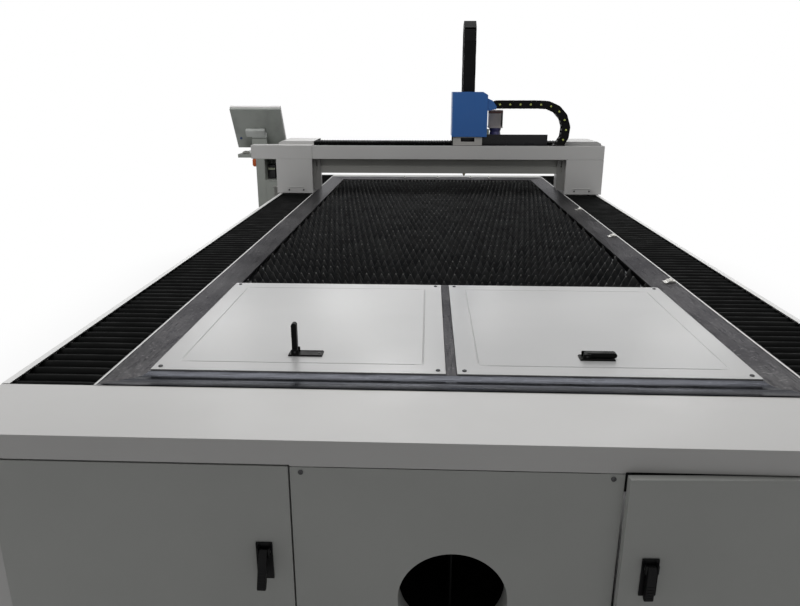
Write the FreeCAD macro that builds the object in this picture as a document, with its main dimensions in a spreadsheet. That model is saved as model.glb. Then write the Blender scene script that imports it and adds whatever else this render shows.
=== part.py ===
import FreeCAD, Part
import math
import os
import re
import Sketcher

# Open-bed fiber laser cutting machine, in millimetres.
# X runs across the bed, Y along it (the ledge and doors are at -Y, the console at +Y), Z up.
# The origin is on the floor, at the centre of the four anchor holes under the bed's corners.

os.makedirs("parts", exist_ok=True)
doc = FreeCAD.newDocument("laser_cutting_machine")

# ------------------------------------------------------------------ driving sizes

SIZES = [
    # bed and its sheet-metal housing
    ("bed_length", 4600),
    ("bed_width", 2200),
    ("deck_height", 850),
    ("sheet_wall", 2),
    ("plate_wall", 8),
    ("tube_side", 80),
    ("beam_inset", 12),
    ("skirt_gap", 90),
    ("ledge_depth", 251),
    ("header_drop", 60),
    ("seam_gap", 3),
    ("seam_play", 1),
    ("fit_gap", 0.5),
    ("slide_gap", 0.1),
    ("door_post", 104),
    ("door_sill", 20),
    ("door_thick", 20),
    ("door_ajar", 2),
    ("hinge_return", 40),
    ("panel_half", 345),
    ("tab_width", 44),
    ("tab_inset", 6),
    ("tab_lap", 20),
    ("duct_radius", 120),
    ("duct_drop", 385),
    ("collar_length", 60),
    ("collar_wall", 3),
    ("duct_margin", 40),
    ("foot_plate", 150),
    ("foot_lip", 25),
    ("foot_thick", 12),
    ("foot_bolt", 30),
    ("anchor_radius", 9),
    ("anchor_inset", 90),
    ("anchor_setback", 170),
    ("anchor_out", 82),
    # machine ways beside the table
    ("way_width", 232),
    ("trim_width", 6),
    ("way_depth", 110),
    ("web_inset", 14),
    ("web_drop", 20),
    ("flange_width", 14),
    ("rail_inset", 170),
    ("rail_width", 30),
    ("rail_height", 28),
    ("rail_start", 30),
    ("rail_stop", 60),
    ("rack_inset", 102),
    ("rack_width", 24),
    ("rack_height", 26),
    ("fold_pitch", 64),
    ("fold_height", 18),
    ("bellows_thick", 32),
    ("bellows_side_gap", 4),
    ("bellows_tuck", 20),
    # table frame, covers and slats
    ("band_width", 101),
    ("band_drop", 12),
    ("front_band", 92),
    ("mid_bar", 27),
    ("cross_bar", 22),
    ("rear_band", 84),
    ("rear_deck", 115),
    ("cover_length", 816),
    ("cover_wall", 3),
    ("cover_lift", 3),
    ("rim_width", 56),
    ("groove_inset", 57),
    ("groove_short", 24),
    ("groove_width", 1.6),
    ("groove_depth", 0.8),
    ("slat_count", 30),
    ("slat_wall", 3),
    ("slat_height", 110),
    ("tooth_height", 30),
    ("tooth_count", 12),
    ("comb_wall", 6),
    ("comb_height", 70),
    ("comb_shelf_width", 30),
    ("screw_inset", 20),
    ("screw_head", 6),
    ("screw_height", 3),
    ("clamp_inset", 8),
    ("clamp_width", 30),
    ("clamp_length", 32),
    ("clamp_rise", 8),
    ("stud_pitch", 270),
    ("stud_side", 18),
    ("stud_rise", 12),
    # latches
    ("latch_at", 387),
    ("latch_back", 211),
    ("latch_length", 92),
    ("latch_width", 36),
    ("latch_wall", 4),
    ("lever_length", 80),
    ("lever_width", 20),
    ("lever_thick", 12),
    ("ear_wall", 4),
    ("ear_start", 8),
    ("ear_length", 20),
    ("side_gap", 0.3),
    ("door_latch_at", 408),
    ("door_latch_drop", 291),
    ("door_lever_out", 26),
    # scrap drawers
    ("drawer_gap", 12.5),
    ("drawer_width", 900),
    ("drawer_height", 190),
    ("drawer_floor", 190),
    ("grip_out", 24),
    ("grip_thick", 10),
    ("grip_length", 160),
    ("grip_drop", 54),
    ("runner_width", 22),
    ("runner_thick", 12),
    ("runner_inset", 40),
    # gantry
    ("gantry_front", 3475),
    ("gantry_depth", 426),
    ("beam_setback", 45),
    ("beam_depth", 220),
    ("beam_step", 8),
    ("step_up", 52),
    ("beam_low", 140),
    ("beam_height", 100),
    ("beam_inset_end", 25),
    ("fascia_low", 238),
    ("fascia_height", 90),
    ("fascia_lip", 12),
    ("fascia_foot", 16),
    ("gantry_reach", 13),
    ("overhang", 169),
    ("seam_inset", 239),
    ("end_rise", 22),
    ("cap_setback", 111),
    ("cap_chamfer", 26),
    ("bellows_anchor_inset", 50),
    ("beam_fold_at", 114),
    ("beam_fold_width", 160),
    ("beam_fold_rise", 17),
    ("beam_fold_thick", 34),
    ("leg_low", 5),
    ("leg_inset", 235),
    ("shoe_inset", 14),
    ("shoe_setback", 26),
    ("post_width", 56),
    ("post_slot", 10),
    ("slot_low", 150),
    ("slot_length", 75),
    ("post_foot", 30),
    ("shoe_drop", 50),
    ("shoe_wall", 20),
    ("block_length", 110),
    ("block_width", 62),
    ("block_setback", 40),
    ("block_gap", 4),
    ("motor_side", 86),
    ("motor_height", 150),
    ("motor_setback", 110),
    ("gear_height", 60),
    ("gear_step", 3),
    ("pinion_radius", 25),
    ("tooth_depth", 4),
    ("shaft_radius", 10),
    ("pinion_teeth", 8),
    ("x_rack_at", 177),
    ("x_rack_width", 18),
    ("x_rack_height", 46),
    ("arm_reach", 96),
    ("arm_root", 100),
    ("arm_depth", 60),
    ("arm_lift", 12),
    ("drop_width", 74),
    ("arm_foot", 80),
    # carriage, head and chains
    ("head_at", 195),
    ("head_cover_width", 214),
    ("head_cover_low", 387),
    ("head_cover_height", 289),
    ("head_cover_depth", 262),
    ("cover_chamfer", 31),
    ("chamfer_run", 43.4),
    ("seat_at", 26),
    ("seat_drop", 60),
    ("notch_width", 10),
    ("notch_height", 14),
    ("shelf_front", 6),
    ("chain_shelf_reach", 100),
    ("chain_shelf_depth", 90),
    ("chain_shelf_wall", 3),
    ("gusset_reach", 80),
    ("gusset_low", 32),
    ("gusset_high", 76),
    ("gusset_wall", 4),
    ("window_width", 92),
    ("window_height", 26),
    ("window_drop", 6),
    ("x_rail_width", 16),
    ("x_rail_height", 18),
    ("x_rail_at", 127),
    ("x_rail_far", 237),
    ("x_block_length", 66),
    ("x_block_half", 22),
    ("saddle_low", 405),
    ("saddle_wall", 15),
    ("saddle_front", 5),
    ("saddle_left", 100),
    ("saddle_right", 105),
    ("shelf_wall", 12),
    ("shelf_depth", 92),
    ("shelf_right", 28),
    ("shelf_hole", 14),
    ("lip_wall", 4),
    ("lip_low", 66),
    ("x_pinion_radius", 18),
    ("x_tooth_depth", 3),
    ("x_pinion_lift", 24),
    ("x_pinion_height", 20),
    ("x_shaft_radius", 8),
    ("drive_at", 157),
    ("x_motor_at", 390),
    ("x_motor_side", 96),
    ("x_motor_low", 439),
    ("x_motor_height", 119),
    ("motor_shift", 8),
    ("x_gear_height", 73),
    ("gear_foot", 38),
    ("gear_neck", 28),
    ("chain_setback", 14),
    ("chain_width", 80),
    ("chain_height", 57),
    ("chain_radius", 161.5),
    ("chain_pitch", 70),
    ("chain_start", 383),
    ("chain_bend_at", 690),
    ("chain_end", 150),
    ("chain_wall", 7),
    ("link_step", 6),
    ("tray_wall", 2),
    ("tray_end", 745),
    ("tray_start", 90),
    ("tray_back", 157),
    ("tower_width", 94),
    ("tower_radius", 90),
    ("tower_pitch", 66),
    ("tower_top", 1110),
    ("tower_depth", 50),
    ("tower_at", 200),
    ("tower_shift", 10),
    ("side_chain_drop", 350),
    ("side_chain_radius", 100),
    ("side_chain_pitch", 112),
    ("side_chain_end", 1440),
    ("side_chain_fixed", 340),
    ("side_chain_straight", 1700),
    ("side_chain_height", 40),
    ("side_chain_width", 90),
    ("side_chain_at", 56),
    ("side_tray_width", 110),
    ("side_tray_lip", 50),
    ("side_tray_shift", 30),
    ("screw_radius", 8),
    ("screw_gap", 0.8),
    ("screw_out", 18),
    ("screw_stop", 90),
    ("z_plate_width", 170),
    ("z_plate_height", 420),
    ("z_plate_setback", 15),
    ("z_plate_wall", 12),
    ("z_plate_low", 210),
    ("guide_at", 65),
    ("guide_inset", 5),
    ("z_motor_half", 30),
    ("z_motor_back", 24),
    ("z_motor_low", 66),
    ("z_motor_rise", 20),
    ("z_slide_height", 240),
    ("slide_low", 225),
    ("slide_out", 34),
    ("pad_inset", 10),
    ("pad_length", 60),
    ("pad_half", 17),
    ("nut_half", 20),
    ("nut_low", 120),
    ("nut_high", 70),
    ("head_width", 84),
    ("head_height", 160),
    ("neck_height", 30),
    ("neck_radius", 22),
    ("neck_shoulder", 30),
    ("collimator_radius", 26),
    ("collimator_height", 90),
    ("nozzle_tip", 84),
    ("nozzle_length", 76),
    ("nozzle_lip", 4),
    ("nozzle_radius", 13),
    ("nozzle_cone", 22),
    ("nozzle_shoulder", 34),
    ("nozzle_bore", 1.5),
    ("ceramic_radius", 20),
    ("ceramic_low", 40),
    # console
    ("console_width", 255),
    ("console_gap", 80),
    ("console_setback", 400),
    ("console_depth", 400),
    ("console_height", 1022),
    ("bay_left", 68),
    ("bay_right", 20),
    ("bay_depth", 220),
    ("bay_height", 165),
    ("bay_roof", 6),
    ("bay_sill", 7),
    ("panel_low", 120),
    ("stay_at", 100),
    ("stay_height", 60),
    ("console_foot_out", 30),
    ("console_foot_in", 10),
    ("desk_thick", 28),
    ("desk_width", 410),
    ("desk_setback", 50),
    ("desk_depth", 390),
    ("monitor_inset", 244),
    ("monitor_setback", 80),
    ("monitor_pivot", 1190),
    ("monitor_width", 400),
    ("monitor_height", 381),
    ("monitor_low", 124),
    ("monitor_thick", 46),
    ("monitor_out", 7),
    ("bezel", 18),
    ("screen_depth", 3),
    ("back_box_left", 102),
    ("back_box_right", 53),
    ("back_box_height", 62),
    ("barrel_half", 60),
    ("monitor_tilt", 32),
    ("barrel_radius", 24),
    ("button_radius", 20),
    ("stop_inset", 40),
    ("stop_setback", 60),
    ("stem_drop", 22),
    ("cap_low", 10),
    ("cap_edge", 12),
    ("cap_high", 24),
    ("keyboard_depth", 130),
    ("keyboard_setback", 25),
    ("keyboard_left", 76),
    ("keyboard_width", 220),
    ("keyboard_height", 20),
    ("mouse_inset", 22),
    ("mouse_width", 60),
    ("mouse_setback", 12),
    ("mouse_length", 100),
    ("mouse_height", 30),
    ("remote_gap", 8),
    ("remote_width", 37),
    ("remote_setback", 4),
    ("remote_depth", 60),
    ("remote_height", 66),
    ("hook_drop", 6),
    ("hook_side", 12),
    ("hook_at", 26),
]

sheet = doc.addObject("Spreadsheet::Sheet", "sizes")
for row, (alias, number) in enumerate(SIZES, 1):
    sheet.set(f"A{row}", alias)
    sheet.set(f"B{row}", str(number))
    sheet.setAlias(f"B{row}", alias)

# places worked out from the sheet, which sub-parts share
PLACES = [
    ("front_y", "-bed_length / 2"),
    ("rear_y", "bed_length / 2"),
    ("side_x", "bed_width / 2"),
    ("way_inner", "bed_width / 2 - way_width"),
    ("opening_half", "bed_width / 2 - way_width - band_width"),
    ("rail_at", "bed_width / 2 - rail_inset"),
    ("rack_at", "bed_width / 2 - rack_inset"),
    ("anchor_half_across", "bed_width / 2 - anchor_inset"),
    ("anchor_half_along", "bed_length / 2 - anchor_setback"),
    ("drawer_length", "(bed_length / 2 - anchor_setback) / 2 - tube_side - 2 * drawer_gap"),
    ("door_drop", "deck_height - header_drop - skirt_gap - door_sill"),
    ("door_width", "bed_width / 2 - panel_half - seam_gap - door_post"),
    ("ledge_back", "-bed_length / 2 + ledge_depth"),
    ("cover_start", "-bed_length / 2 + ledge_depth + front_band"),
    ("cover_stop", "-bed_length / 2 + ledge_depth + front_band + cover_length"),
    ("slats_start", "-bed_length / 2 + ledge_depth + front_band + cover_length + cross_bar"),
    ("slats_stop", "bed_length / 2 - rear_deck - rear_band"),
    ("cover_top", "deck_height + cover_lift + cover_wall"),
    ("way_floor", "deck_height - way_depth"),
    ("bellows_top", "deck_height - sheet_wall"),
    ("gantry_y", "gantry_front - bed_length / 2"),
    ("gantry_back", "gantry_front - bed_length / 2 + gantry_depth"),
    ("beam_y", "gantry_front - bed_length / 2 + beam_setback"),
    ("beam_back", "gantry_front - bed_length / 2 + beam_setback + beam_depth"),
    ("beam_top", "deck_height + beam_low + beam_height"),
    ("fascia_top", "deck_height + fascia_low + fascia_height"),
    ("shoe_top", "deck_height - shoe_drop + shoe_wall"),
    ("saddle_z", "deck_height + saddle_low"),
    ("z_plate_y", "gantry_front - bed_length / 2 + beam_setback + beam_depth + z_plate_setback"),
    ("slide_top", "deck_height + slide_low + z_slide_height"),
    ("cover_base", "deck_height + head_cover_low + head_cover_height"),
    ("cap_y", "gantry_front - bed_length / 2 + cap_setback"),
    ("motor_x", "bed_width / 2 - rack_inset + rack_width / 2 + pinion_radius"),
    ("leg_inner", "bed_width / 2 - leg_inset"),
    ("seam_at", "bed_width / 2 - seam_inset"),
    ("beam_half", "bed_width / 2 - beam_inset_end"),
    ("gantry_half", "bed_width / 2 + gantry_reach"),
    ("bellows_anchor", "bed_width / 2 - bellows_anchor_inset"),
    ("side_chain_floor", "deck_height - side_chain_drop"),
    ("console_inner", "bed_width / 2 + console_gap"),
    ("console_outer", "bed_width / 2 + console_gap + console_width"),
    ("desk_outer", "bed_width / 2 + console_gap + desk_width"),
    ("monitor_at", "bed_width / 2 + console_gap + monitor_inset"),
    ("console_front", "bed_length / 2 - console_setback"),
    ("desk_front", "bed_length / 2 - console_setback + desk_setback"),
    ("desk_back", "bed_length / 2 - console_setback + desk_setback + desk_depth"),
    ("monitor_along", "bed_length / 2 - console_setback + desk_setback + monitor_setback"),
]
worked = doc.addObject("App::FeaturePython", "worked")
for place, formula in PLACES:
    worked.addProperty("App::PropertyFloat", place)

ALIASES = {alias for alias, number in SIZES}
DERIVED = {place for place, formula in PLACES}


def tied(formula):
    """A formula in plain names, written with the objects that hold them."""

    def holder(word):
        name = word.group(0)
        if name in ALIASES:
            return "sizes." + name
        if name in DERIVED:
            return "worked." + name
        return name

    return re.sub(r"[a-z][a-z_]+", holder, str(formula))


for place, formula in PLACES:
    worked.setExpression(place, tied(formula))
doc.recompute()


def size(name):
    """A size or a place as a number, for shapes that are worked out in code."""
    if name in DERIVED:
        return float(getattr(worked, name))
    return float(sheet.get(name))


def bind(thing, prop, formula):
    thing.setExpression(prop, tied(formula))


# ------------------------------------------------------------------ ways of making a piece

SUBPARTS = []

# flat facets round a turned form: coarse for hidden shafts, fine for what is handled
SHAFT_SIDES = 8
TURNED_SIDES = 12
ROUND_SIDES = 16
LEVER_STEPS = [math.radians(30 * i) for i in range(7)]


def keep(thing, node):
    """Names a finished sub-part after its node."""
    thing.Label = node
    SUBPARTS.append(thing)
    return thing


def block(name, across, along, up):
    """A box from and to the given places along X, Y and Z."""
    box = doc.addObject("Part::Box", name)
    spans = (("Length", "x", across), ("Width", "y", along), ("Height", "z", up))
    for side, axis, (low, high) in spans:
        bind(box, side, f"({high}) - ({low})")
        bind(box, "Placement.Base." + axis, low)
    return box


TURNS = {
    "z": FreeCAD.Rotation(),
    "x": FreeCAD.Rotation(FreeCAD.Vector(0, 1, 0), 90),
    "y": FreeCAD.Rotation(FreeCAD.Vector(1, 0, 0), -90),
}


def round_bar(name, axis, radius, length, at):
    """A cylinder along an axis, starting at the given place."""
    bar = doc.addObject("Part::Cylinder", name)
    bar.Placement.Rotation = TURNS[axis]
    bind(bar, "Radius", radius)
    bind(bar, "Height", length)
    for letter, place in zip("xyz", at):
        bind(bar, "Placement.Base." + letter, place)
    return bar


def join(name, pieces):
    whole = doc.addObject("Part::MultiFuse", name)
    whole.Shapes = pieces
    whole.Refine = True
    return whole


def cut(name, base, tools):
    """The base less its tools."""
    tool = tools[0]
    if len(tools) > 1:
        tool = doc.addObject("Part::Compound", name + "_tools")
        tool.Links = tools
    less = doc.addObject("Part::Cut", name)
    less.Base = base
    less.Tool = tool
    less.Refine = True
    return less


def group(name, pieces):
    """Separate solids that share one node."""
    several = doc.addObject("Part::Compound", name)
    several.Links = pieces
    return several


def other_side(name, piece):
    """The piece's mirror image across the bed's middle."""
    image = doc.addObject("Part::Mirroring", name)
    image.Source = piece
    image.Normal = (1, 0, 0)
    image.Base = (0, 0, 0)
    return image


def both_sides(name, piece):
    return group(name, [piece, other_side(name + "_far", piece)])


def coded(name, shape):
    """A piece whose shape is worked out in code from the sheet."""
    feature = doc.addObject("Part::Feature", name)
    feature.Shape = shape
    feature.Placement = shape.Placement
    return feature


def profile(body, role, name, points):
    """A closed outline on one of the body's origin planes, each corner tied to the sheet."""
    plane = [f for f in body.Origin.OriginFeatures if f.Role == role][0]
    sketch = body.newObject("Sketcher::SketchObject", name)
    sketch.AttachmentSupport = [(plane, "")]
    sketch.MapMode = "FlatFace"
    count = len(points)
    start = [
        FreeCAD.Vector(100 * math.cos(2 * math.pi * i / count), 100 * math.sin(2 * math.pi * i / count), 0)
        for i in range(count)
    ]
    for i in range(count):
        sketch.addGeometry(Part.LineSegment(start[i], start[(i + 1) % count]), False)
    for i in range(count):
        sketch.addConstraint(Sketcher.Constraint("Coincident", i, 2, (i + 1) % count, 1))
    for i, corner in enumerate(points):
        for kind, now, formula in zip(("DistanceX", "DistanceY"), (start[i].x, start[i].y), corner):
            index = sketch.addConstraint(Sketcher.Constraint(kind, -1, 1, i, 1, now))
            sketch.renameConstraint(index, f"{kind}{i}")
            sketch.setExpression(f"Constraints.{kind}{i}", tied(formula))
    return sketch


def extruded(name, role, points, length, middle):
    """A body padded both ways from its plane, which stands at the given place."""
    body = doc.addObject("PartDesign::Body", name)
    sketch = profile(body, role, name + "_outline", points)
    pad = body.newObject("PartDesign::Pad", name + "_pad")
    pad.Profile = sketch
    pad.Midplane = True
    bind(pad, "Length", length)
    for letter, place in zip("xyz", middle):
        bind(body, "Placement.Base." + letter, place)
    return body


def point(x, y, z):
    return FreeCAD.Vector(x, y, z)


def prism(points, along):
    """A flat outline pushed along a vector."""
    return Part.Face(Part.makePolygon(points + [points[0]])).extrude(along)


def ring_points(sides, radius, x, y, z, turn=0.5):
    """The corners of an even-sided figure lying flat round a centre."""
    return [
        point(
            x + radius * math.cos(2 * math.pi * (i + turn) / sides),
            y + radius * math.sin(2 * math.pi * (i + turn) / sides),
            z,
        )
        for i in range(sides)
    ]


def facet(corners):
    return Part.Face(Part.makePolygon(corners + [corners[0]]))


def faceted(sides, rings, x, y):
    """A turned form with flat facets, given as (radius, height) from the bottom up."""
    loops = [ring_points(sides, radius, x, y, z) for radius, z in rings]
    faces = [facet(loops[0]), facet(loops[-1])]
    for low, high in zip(loops, loops[1:]):
        for i in range(sides):
            j = (i + 1) % sides
            faces.append(facet([low[i], low[j], high[j], high[i]]))
    solid = Part.Solid(Part.Shell(faces))
    if solid.Volume < 0:
        solid.reverse()
    return solid


def frame_shape(across, along, up):
    """A plain box shape between two corners, in numbers."""
    low = point(across[0], along[0], up[0])
    return Part.makeBox(across[1] - across[0], along[1] - along[0], up[1] - up[0], low)


# ------------------------------------------------------------------ bed frame and feet

base_z = "foot_thick + foot_bolt"
tube_inner = "anchor_half_across - anchor_out"
tube_outer = "anchor_half_across - anchor_out + tube_side"
tube_middle = "anchor_half_across - anchor_out + tube_side / 2"
POST_COUNT = 5


def post_place(i):
    """Where along the bed the post with this number stands."""
    return f"-anchor_half_along + {i} * 2 * anchor_half_along / {POST_COUNT - 1}"


side_tubes = [
    block(
        "way_beam",
        ("way_inner + beam_inset", "side_x - beam_inset"),
        ("ledge_back", "rear_y - beam_inset"),
        ("way_floor - tube_side", "way_floor"),
    ),
    block(
        "base_rail",
        (tube_inner, tube_outer),
        ("-anchor_half_along - tube_side", "rear_y - beam_inset"),
        (base_z, f"{base_z} + tube_side"),
    ),
]
cross_tubes = []
for i in range(POST_COUNT):
    along = post_place(i)
    span = (f"{along} - tube_side / 2", f"{along} + tube_side / 2")
    side_tubes.append(
        block(f"post_{i}", (tube_inner, tube_outer), span, (f"{base_z} + tube_side", "way_floor - tube_side"))
    )
    cross_tubes.append(
        block(f"cross_{i}", (f"-({tube_inner})", tube_inner), span, (base_z, f"{base_z} + tube_side"))
    )

# runners under the two scrap drawers: angles welded between the posts, each on a leg at its far end
runner_start = "side_x - drawer_width + runner_inset"
for i, (start, facing) in enumerate(((1, 1), (2, -1), (2, 1), (3, -1))):
    face = f"{post_place(start)} + {facing} * tube_side / 2"
    tip = f"{face} + {facing} * runner_width"
    leg = [f"{face} - {facing} * runner_width / 2", f"{face} + {facing} * runner_width / 2"]
    cross_tubes.append(
        block(
            f"runner_{i}",
            (runner_start, tube_outer),
            (face, tip) if facing > 0 else (tip, face),
            ("drawer_floor - runner_thick", "drawer_floor"),
        )
    )
    cross_tubes.append(
        block(
            f"runner_leg_{i}",
            (runner_start, f"{runner_start} + tube_side / 2"),
            leg if facing > 0 else leg[::-1],
            (f"{base_z} + tube_side", "drawer_floor - runner_thick"),
        )
    )
half_frame = group("half_frame", side_tubes)
keep(
    group("bed_frame_tubes", [half_frame, other_side("half_frame_far", half_frame)] + cross_tubes),
    "bed_frame",
)

feet = []
for i in range(POST_COUNT):
    along = post_place(i)
    corner = i in (0, POST_COUNT - 1)
    if i == POST_COUNT // 2 or corner:
        sole = block(
            f"sole_{i}",
            (f"{tube_inner} - foot_lip", "anchor_half_across + foot_lip"),
            (f"{along} - foot_plate / 2", f"{along} + foot_plate / 2"),
            ("0", "foot_thick"),
        )
        if corner:
            hole = round_bar(
                f"anchor_{i}",
                "z",
                "anchor_radius",
                "foot_thick * 3",
                ("anchor_half_across", along, "-foot_thick"),
            )
            sole = cut(f"sole_drilled_{i}", sole, [hole])
        stem = block(
            f"stem_{i}",
            (f"{tube_middle} - foot_bolt / 2", f"{tube_middle} + foot_bolt / 2"),
            (f"{along} - foot_bolt / 2", f"{along} + foot_bolt / 2"),
            ("foot_thick", base_z),
        )
        feet.append(join(f"foot_{i}", [sole, stem]))
near_feet = group("near_feet", feet)
keep(group("feet", [near_feet, other_side("near_feet_far", near_feet)]), "levelling_feet")

# ------------------------------------------------------------------ table frame

side_band = extruded(
    "side_band",
    "XZ_Plane",
    [
        ("opening_half", "deck_height - band_drop - plate_wall"),
        ("way_inner", "deck_height - plate_wall"),
        ("way_inner", "deck_height"),
        ("opening_half", "deck_height - band_drop"),
    ],
    "slats_stop + rear_band - ledge_back",
    ("0", "(slats_stop + rear_band + ledge_back) / 2", "0"),
)
side_web = block(
    "side_web",
    ("way_inner - web_inset", "way_inner - web_inset + plate_wall"),
    ("ledge_back", "slats_stop + rear_band"),
    ("way_floor - web_drop", "deck_height - plate_wall / 2"),
)
web_foot = block(
    "web_foot",
    ("way_inner - web_inset", "way_inner + beam_inset"),
    ("ledge_back", "slats_stop + rear_band"),
    ("way_floor - 2 * web_drop", "way_floor - web_drop"),
)
half_table = join("half_table", [side_band, side_web, web_foot])
front_plate = extruded(
    "front_plate",
    "YZ_Plane",
    [
        ("ledge_back", "deck_height - plate_wall"),
        ("cover_start", "deck_height - band_drop - plate_wall"),
        ("cover_start", "deck_height - band_drop"),
        ("ledge_back", "deck_height"),
    ],
    "2 * way_inner",
    ("0", "0", "0"),
)
rear_plate = extruded(
    "rear_plate",
    "YZ_Plane",
    [
        ("slats_stop", "deck_height - band_drop - plate_wall"),
        ("slats_stop + rear_band", "deck_height - plate_wall"),
        ("slats_stop + rear_band", "deck_height"),
        ("slats_stop", "deck_height - band_drop"),
    ],
    "2 * way_inner",
    ("0", "0", "0"),
)
cross_plate = block(
    "cross_plate",
    ("-opening_half", "opening_half"),
    ("cover_stop", "slats_start"),
    ("deck_height - tube_side", "deck_height"),
)
middle_bar = block(
    "middle_bar",
    ("-mid_bar / 2", "mid_bar / 2"),
    ("cover_start", "cover_stop"),
    ("deck_height - band_drop - plate_wall", "deck_height"),
)
rim_blank = block(
    "rim_blank",
    ("mid_bar / 2", "opening_half"),
    ("cover_start", "cover_stop"),
    ("deck_height - band_drop - plate_wall", "deck_height + cover_lift"),
)
rim_hole = block(
    "rim_hole",
    ("mid_bar / 2 + rim_width", "opening_half - rim_width"),
    ("cover_start + rim_width", "cover_stop - rim_width"),
    ("deck_height - tube_side", "deck_height + tube_side"),
)
rim = cut("rim", rim_blank, [rim_hole])
keep(
    join(
        "table_weld",
        [
            half_table,
            other_side("half_table_far", half_table),
            front_plate,
            rear_plate,
            cross_plate,
            middle_bar,
            rim,
            other_side("rim_far", rim),
        ],
    ),
    "table_frame",
)

# ------------------------------------------------------------------ housing, skirts and ways

housing_top = block(
    "ledge",
    ("-side_x", "side_x"),
    ("front_y", "ledge_back"),
    ("deck_height - sheet_wall", "deck_height"),
)
housing_face = block(
    "face",
    ("-side_x", "side_x"),
    ("front_y", "front_y + sheet_wall"),
    ("skirt_gap", "deck_height"),
)
housing_end = block(
    "end",
    ("side_x - sheet_wall", "side_x"),
    ("front_y", "ledge_back"),
    ("skirt_gap", "deck_height"),
)
housing_back = block(
    "back_lip",
    ("-side_x", "side_x"),
    ("ledge_back - sheet_wall", "ledge_back"),
    ("way_floor", "deck_height"),
)
housing_post = block(
    "hinge_post",
    ("door_width + panel_half + seam_gap + side_gap", "side_x"),
    ("front_y", "front_y + hinge_return"),
    ("skirt_gap", "deck_height"),
)
door_opening = block(
    "door_opening",
    ("panel_half", "panel_half + door_width + seam_gap + side_gap"),
    ("front_y - plate_wall", "front_y + plate_wall"),
    ("deck_height - header_drop - door_drop - seam_gap", "deck_height - header_drop + seam_gap"),
)
panel_opening = block(
    "panel_opening",
    ("-panel_half", "panel_half"),
    ("front_y - plate_wall", "front_y + plate_wall"),
    ("deck_height - header_drop - door_drop - seam_gap", "deck_height - header_drop"),
)
half_sides = join("housing_ends", [housing_end, housing_post])
housing = join(
    "housing_blank",
    [housing_top, housing_face, housing_back, half_sides, other_side("housing_ends_far", half_sides)],
)
keep(
    cut("housing_cut", housing, [door_opening, other_side("door_opening_far", door_opening), panel_opening]),
    "front_housing",
)

panel_sheet = block(
    "panel_sheet",
    ("-panel_half + fit_gap", "panel_half - fit_gap"),
    ("front_y", "front_y + sheet_wall"),
    ("deck_height - header_drop - door_drop - seam_gap / 2", "deck_height - header_drop - seam_gap / 2"),
)
panel_tab = block(
    "panel_tab",
    ("panel_half - tab_inset - tab_width", "panel_half - tab_inset"),
    ("front_y + sheet_wall", "front_y + 2 * sheet_wall"),
    ("deck_height - header_drop - 2 * tab_lap", "deck_height - header_drop + tab_lap"),
)
panel_foot = block(
    "panel_foot",
    ("-panel_half + tab_width", "panel_half - tab_width"),
    ("front_y + sheet_wall", "front_y + 2 * sheet_wall"),
    ("deck_height - header_drop - door_drop - tab_lap", "deck_height - header_drop - door_drop + tab_lap"),
)
panel_blank = join(
    "panel_blank",
    [panel_sheet, panel_tab, other_side("panel_tab_far", panel_tab), panel_foot],
)
panel_collar = round_bar(
    "panel_collar",
    "y",
    "duct_radius + collar_wall",
    "collar_length",
    ("0", "front_y + sheet_wall", "deck_height - duct_drop"),
)
panel_hole = round_bar(
    "panel_hole",
    "y",
    "duct_radius",
    "collar_length + 2 * plate_wall",
    ("0", "front_y - plate_wall", "deck_height - duct_drop"),
)
panel_weld = join("panel_weld", [panel_blank, panel_collar])
keep(cut("panel_cut", panel_weld, [panel_hole]), "centre_front_panel")

duct_half = "duct_radius + duct_margin"
duct_case = block(
    "duct_case",
    (f"-({duct_half})", duct_half),
    ("front_y + sheet_wall", "slats_start - duct_margin"),
    (f"deck_height - duct_drop - ({duct_half})", f"deck_height - duct_drop + {duct_half}"),
)
duct_cavity = block(
    "duct_cavity",
    (f"-({duct_half}) + collar_wall", f"{duct_half} - collar_wall"),
    ("front_y", "slats_start"),
    (
        f"deck_height - duct_drop - ({duct_half}) + collar_wall",
        f"deck_height - duct_drop + {duct_half} - collar_wall",
    ),
)
duct_vane = block(
    "duct_vane",
    ("-sheet_wall", "sheet_wall"),
    ("front_y + collar_length + duct_margin", "slats_start - duct_margin"),
    (
        f"deck_height - duct_drop - ({duct_half}) + sheet_wall",
        f"deck_height - duct_drop + {duct_half} - sheet_wall",
    ),
)
duct_leg = block(
    "duct_leg",
    ("-duct_radius", "duct_radius"),
    ("-anchor_half_along - tube_side / 4", "-anchor_half_along + tube_side / 4"),
    (f"{base_z} + tube_side", f"deck_height - duct_drop - ({duct_half})"),
)
keep(join("duct_weld", [cut("duct_box", duct_case, [duct_cavity]), duct_vane, duct_leg]), "exhaust_duct")

side_sheet = block(
    "side_sheet",
    ("side_x - sheet_wall", "side_x"),
    ("ledge_back", "rear_y - sheet_wall"),
    ("skirt_gap", "deck_height - seam_play"),
)
side_flange = block(
    "side_flange",
    ("side_x - flange_width", "side_x - sheet_wall"),
    ("ledge_back", "rear_y - sheet_wall"),
    ("skirt_gap", "skirt_gap + sheet_wall"),
)
side_weld = join("side_weld", [side_sheet, side_flange])
drawer_middle = "anchor_half_along / 4"
drawer_holes = [
    block(
        f"drawer_hole_{i}",
        ("side_x - plate_wall", "side_x + plate_wall"),
        (
            f"{side} * {drawer_middle} - drawer_length / 2 - seam_gap",
            f"{side} * {drawer_middle} + drawer_length / 2 + seam_gap",
        ),
        ("drawer_floor - seam_gap", "drawer_floor + drawer_height + seam_gap"),
    )
    for i, side in enumerate((-1, 1))
]
keep(cut("side_right_cut", side_weld, drawer_holes), "side_panel_right")
left_sheet = other_side("side_sheet_far", side_weld)
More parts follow.
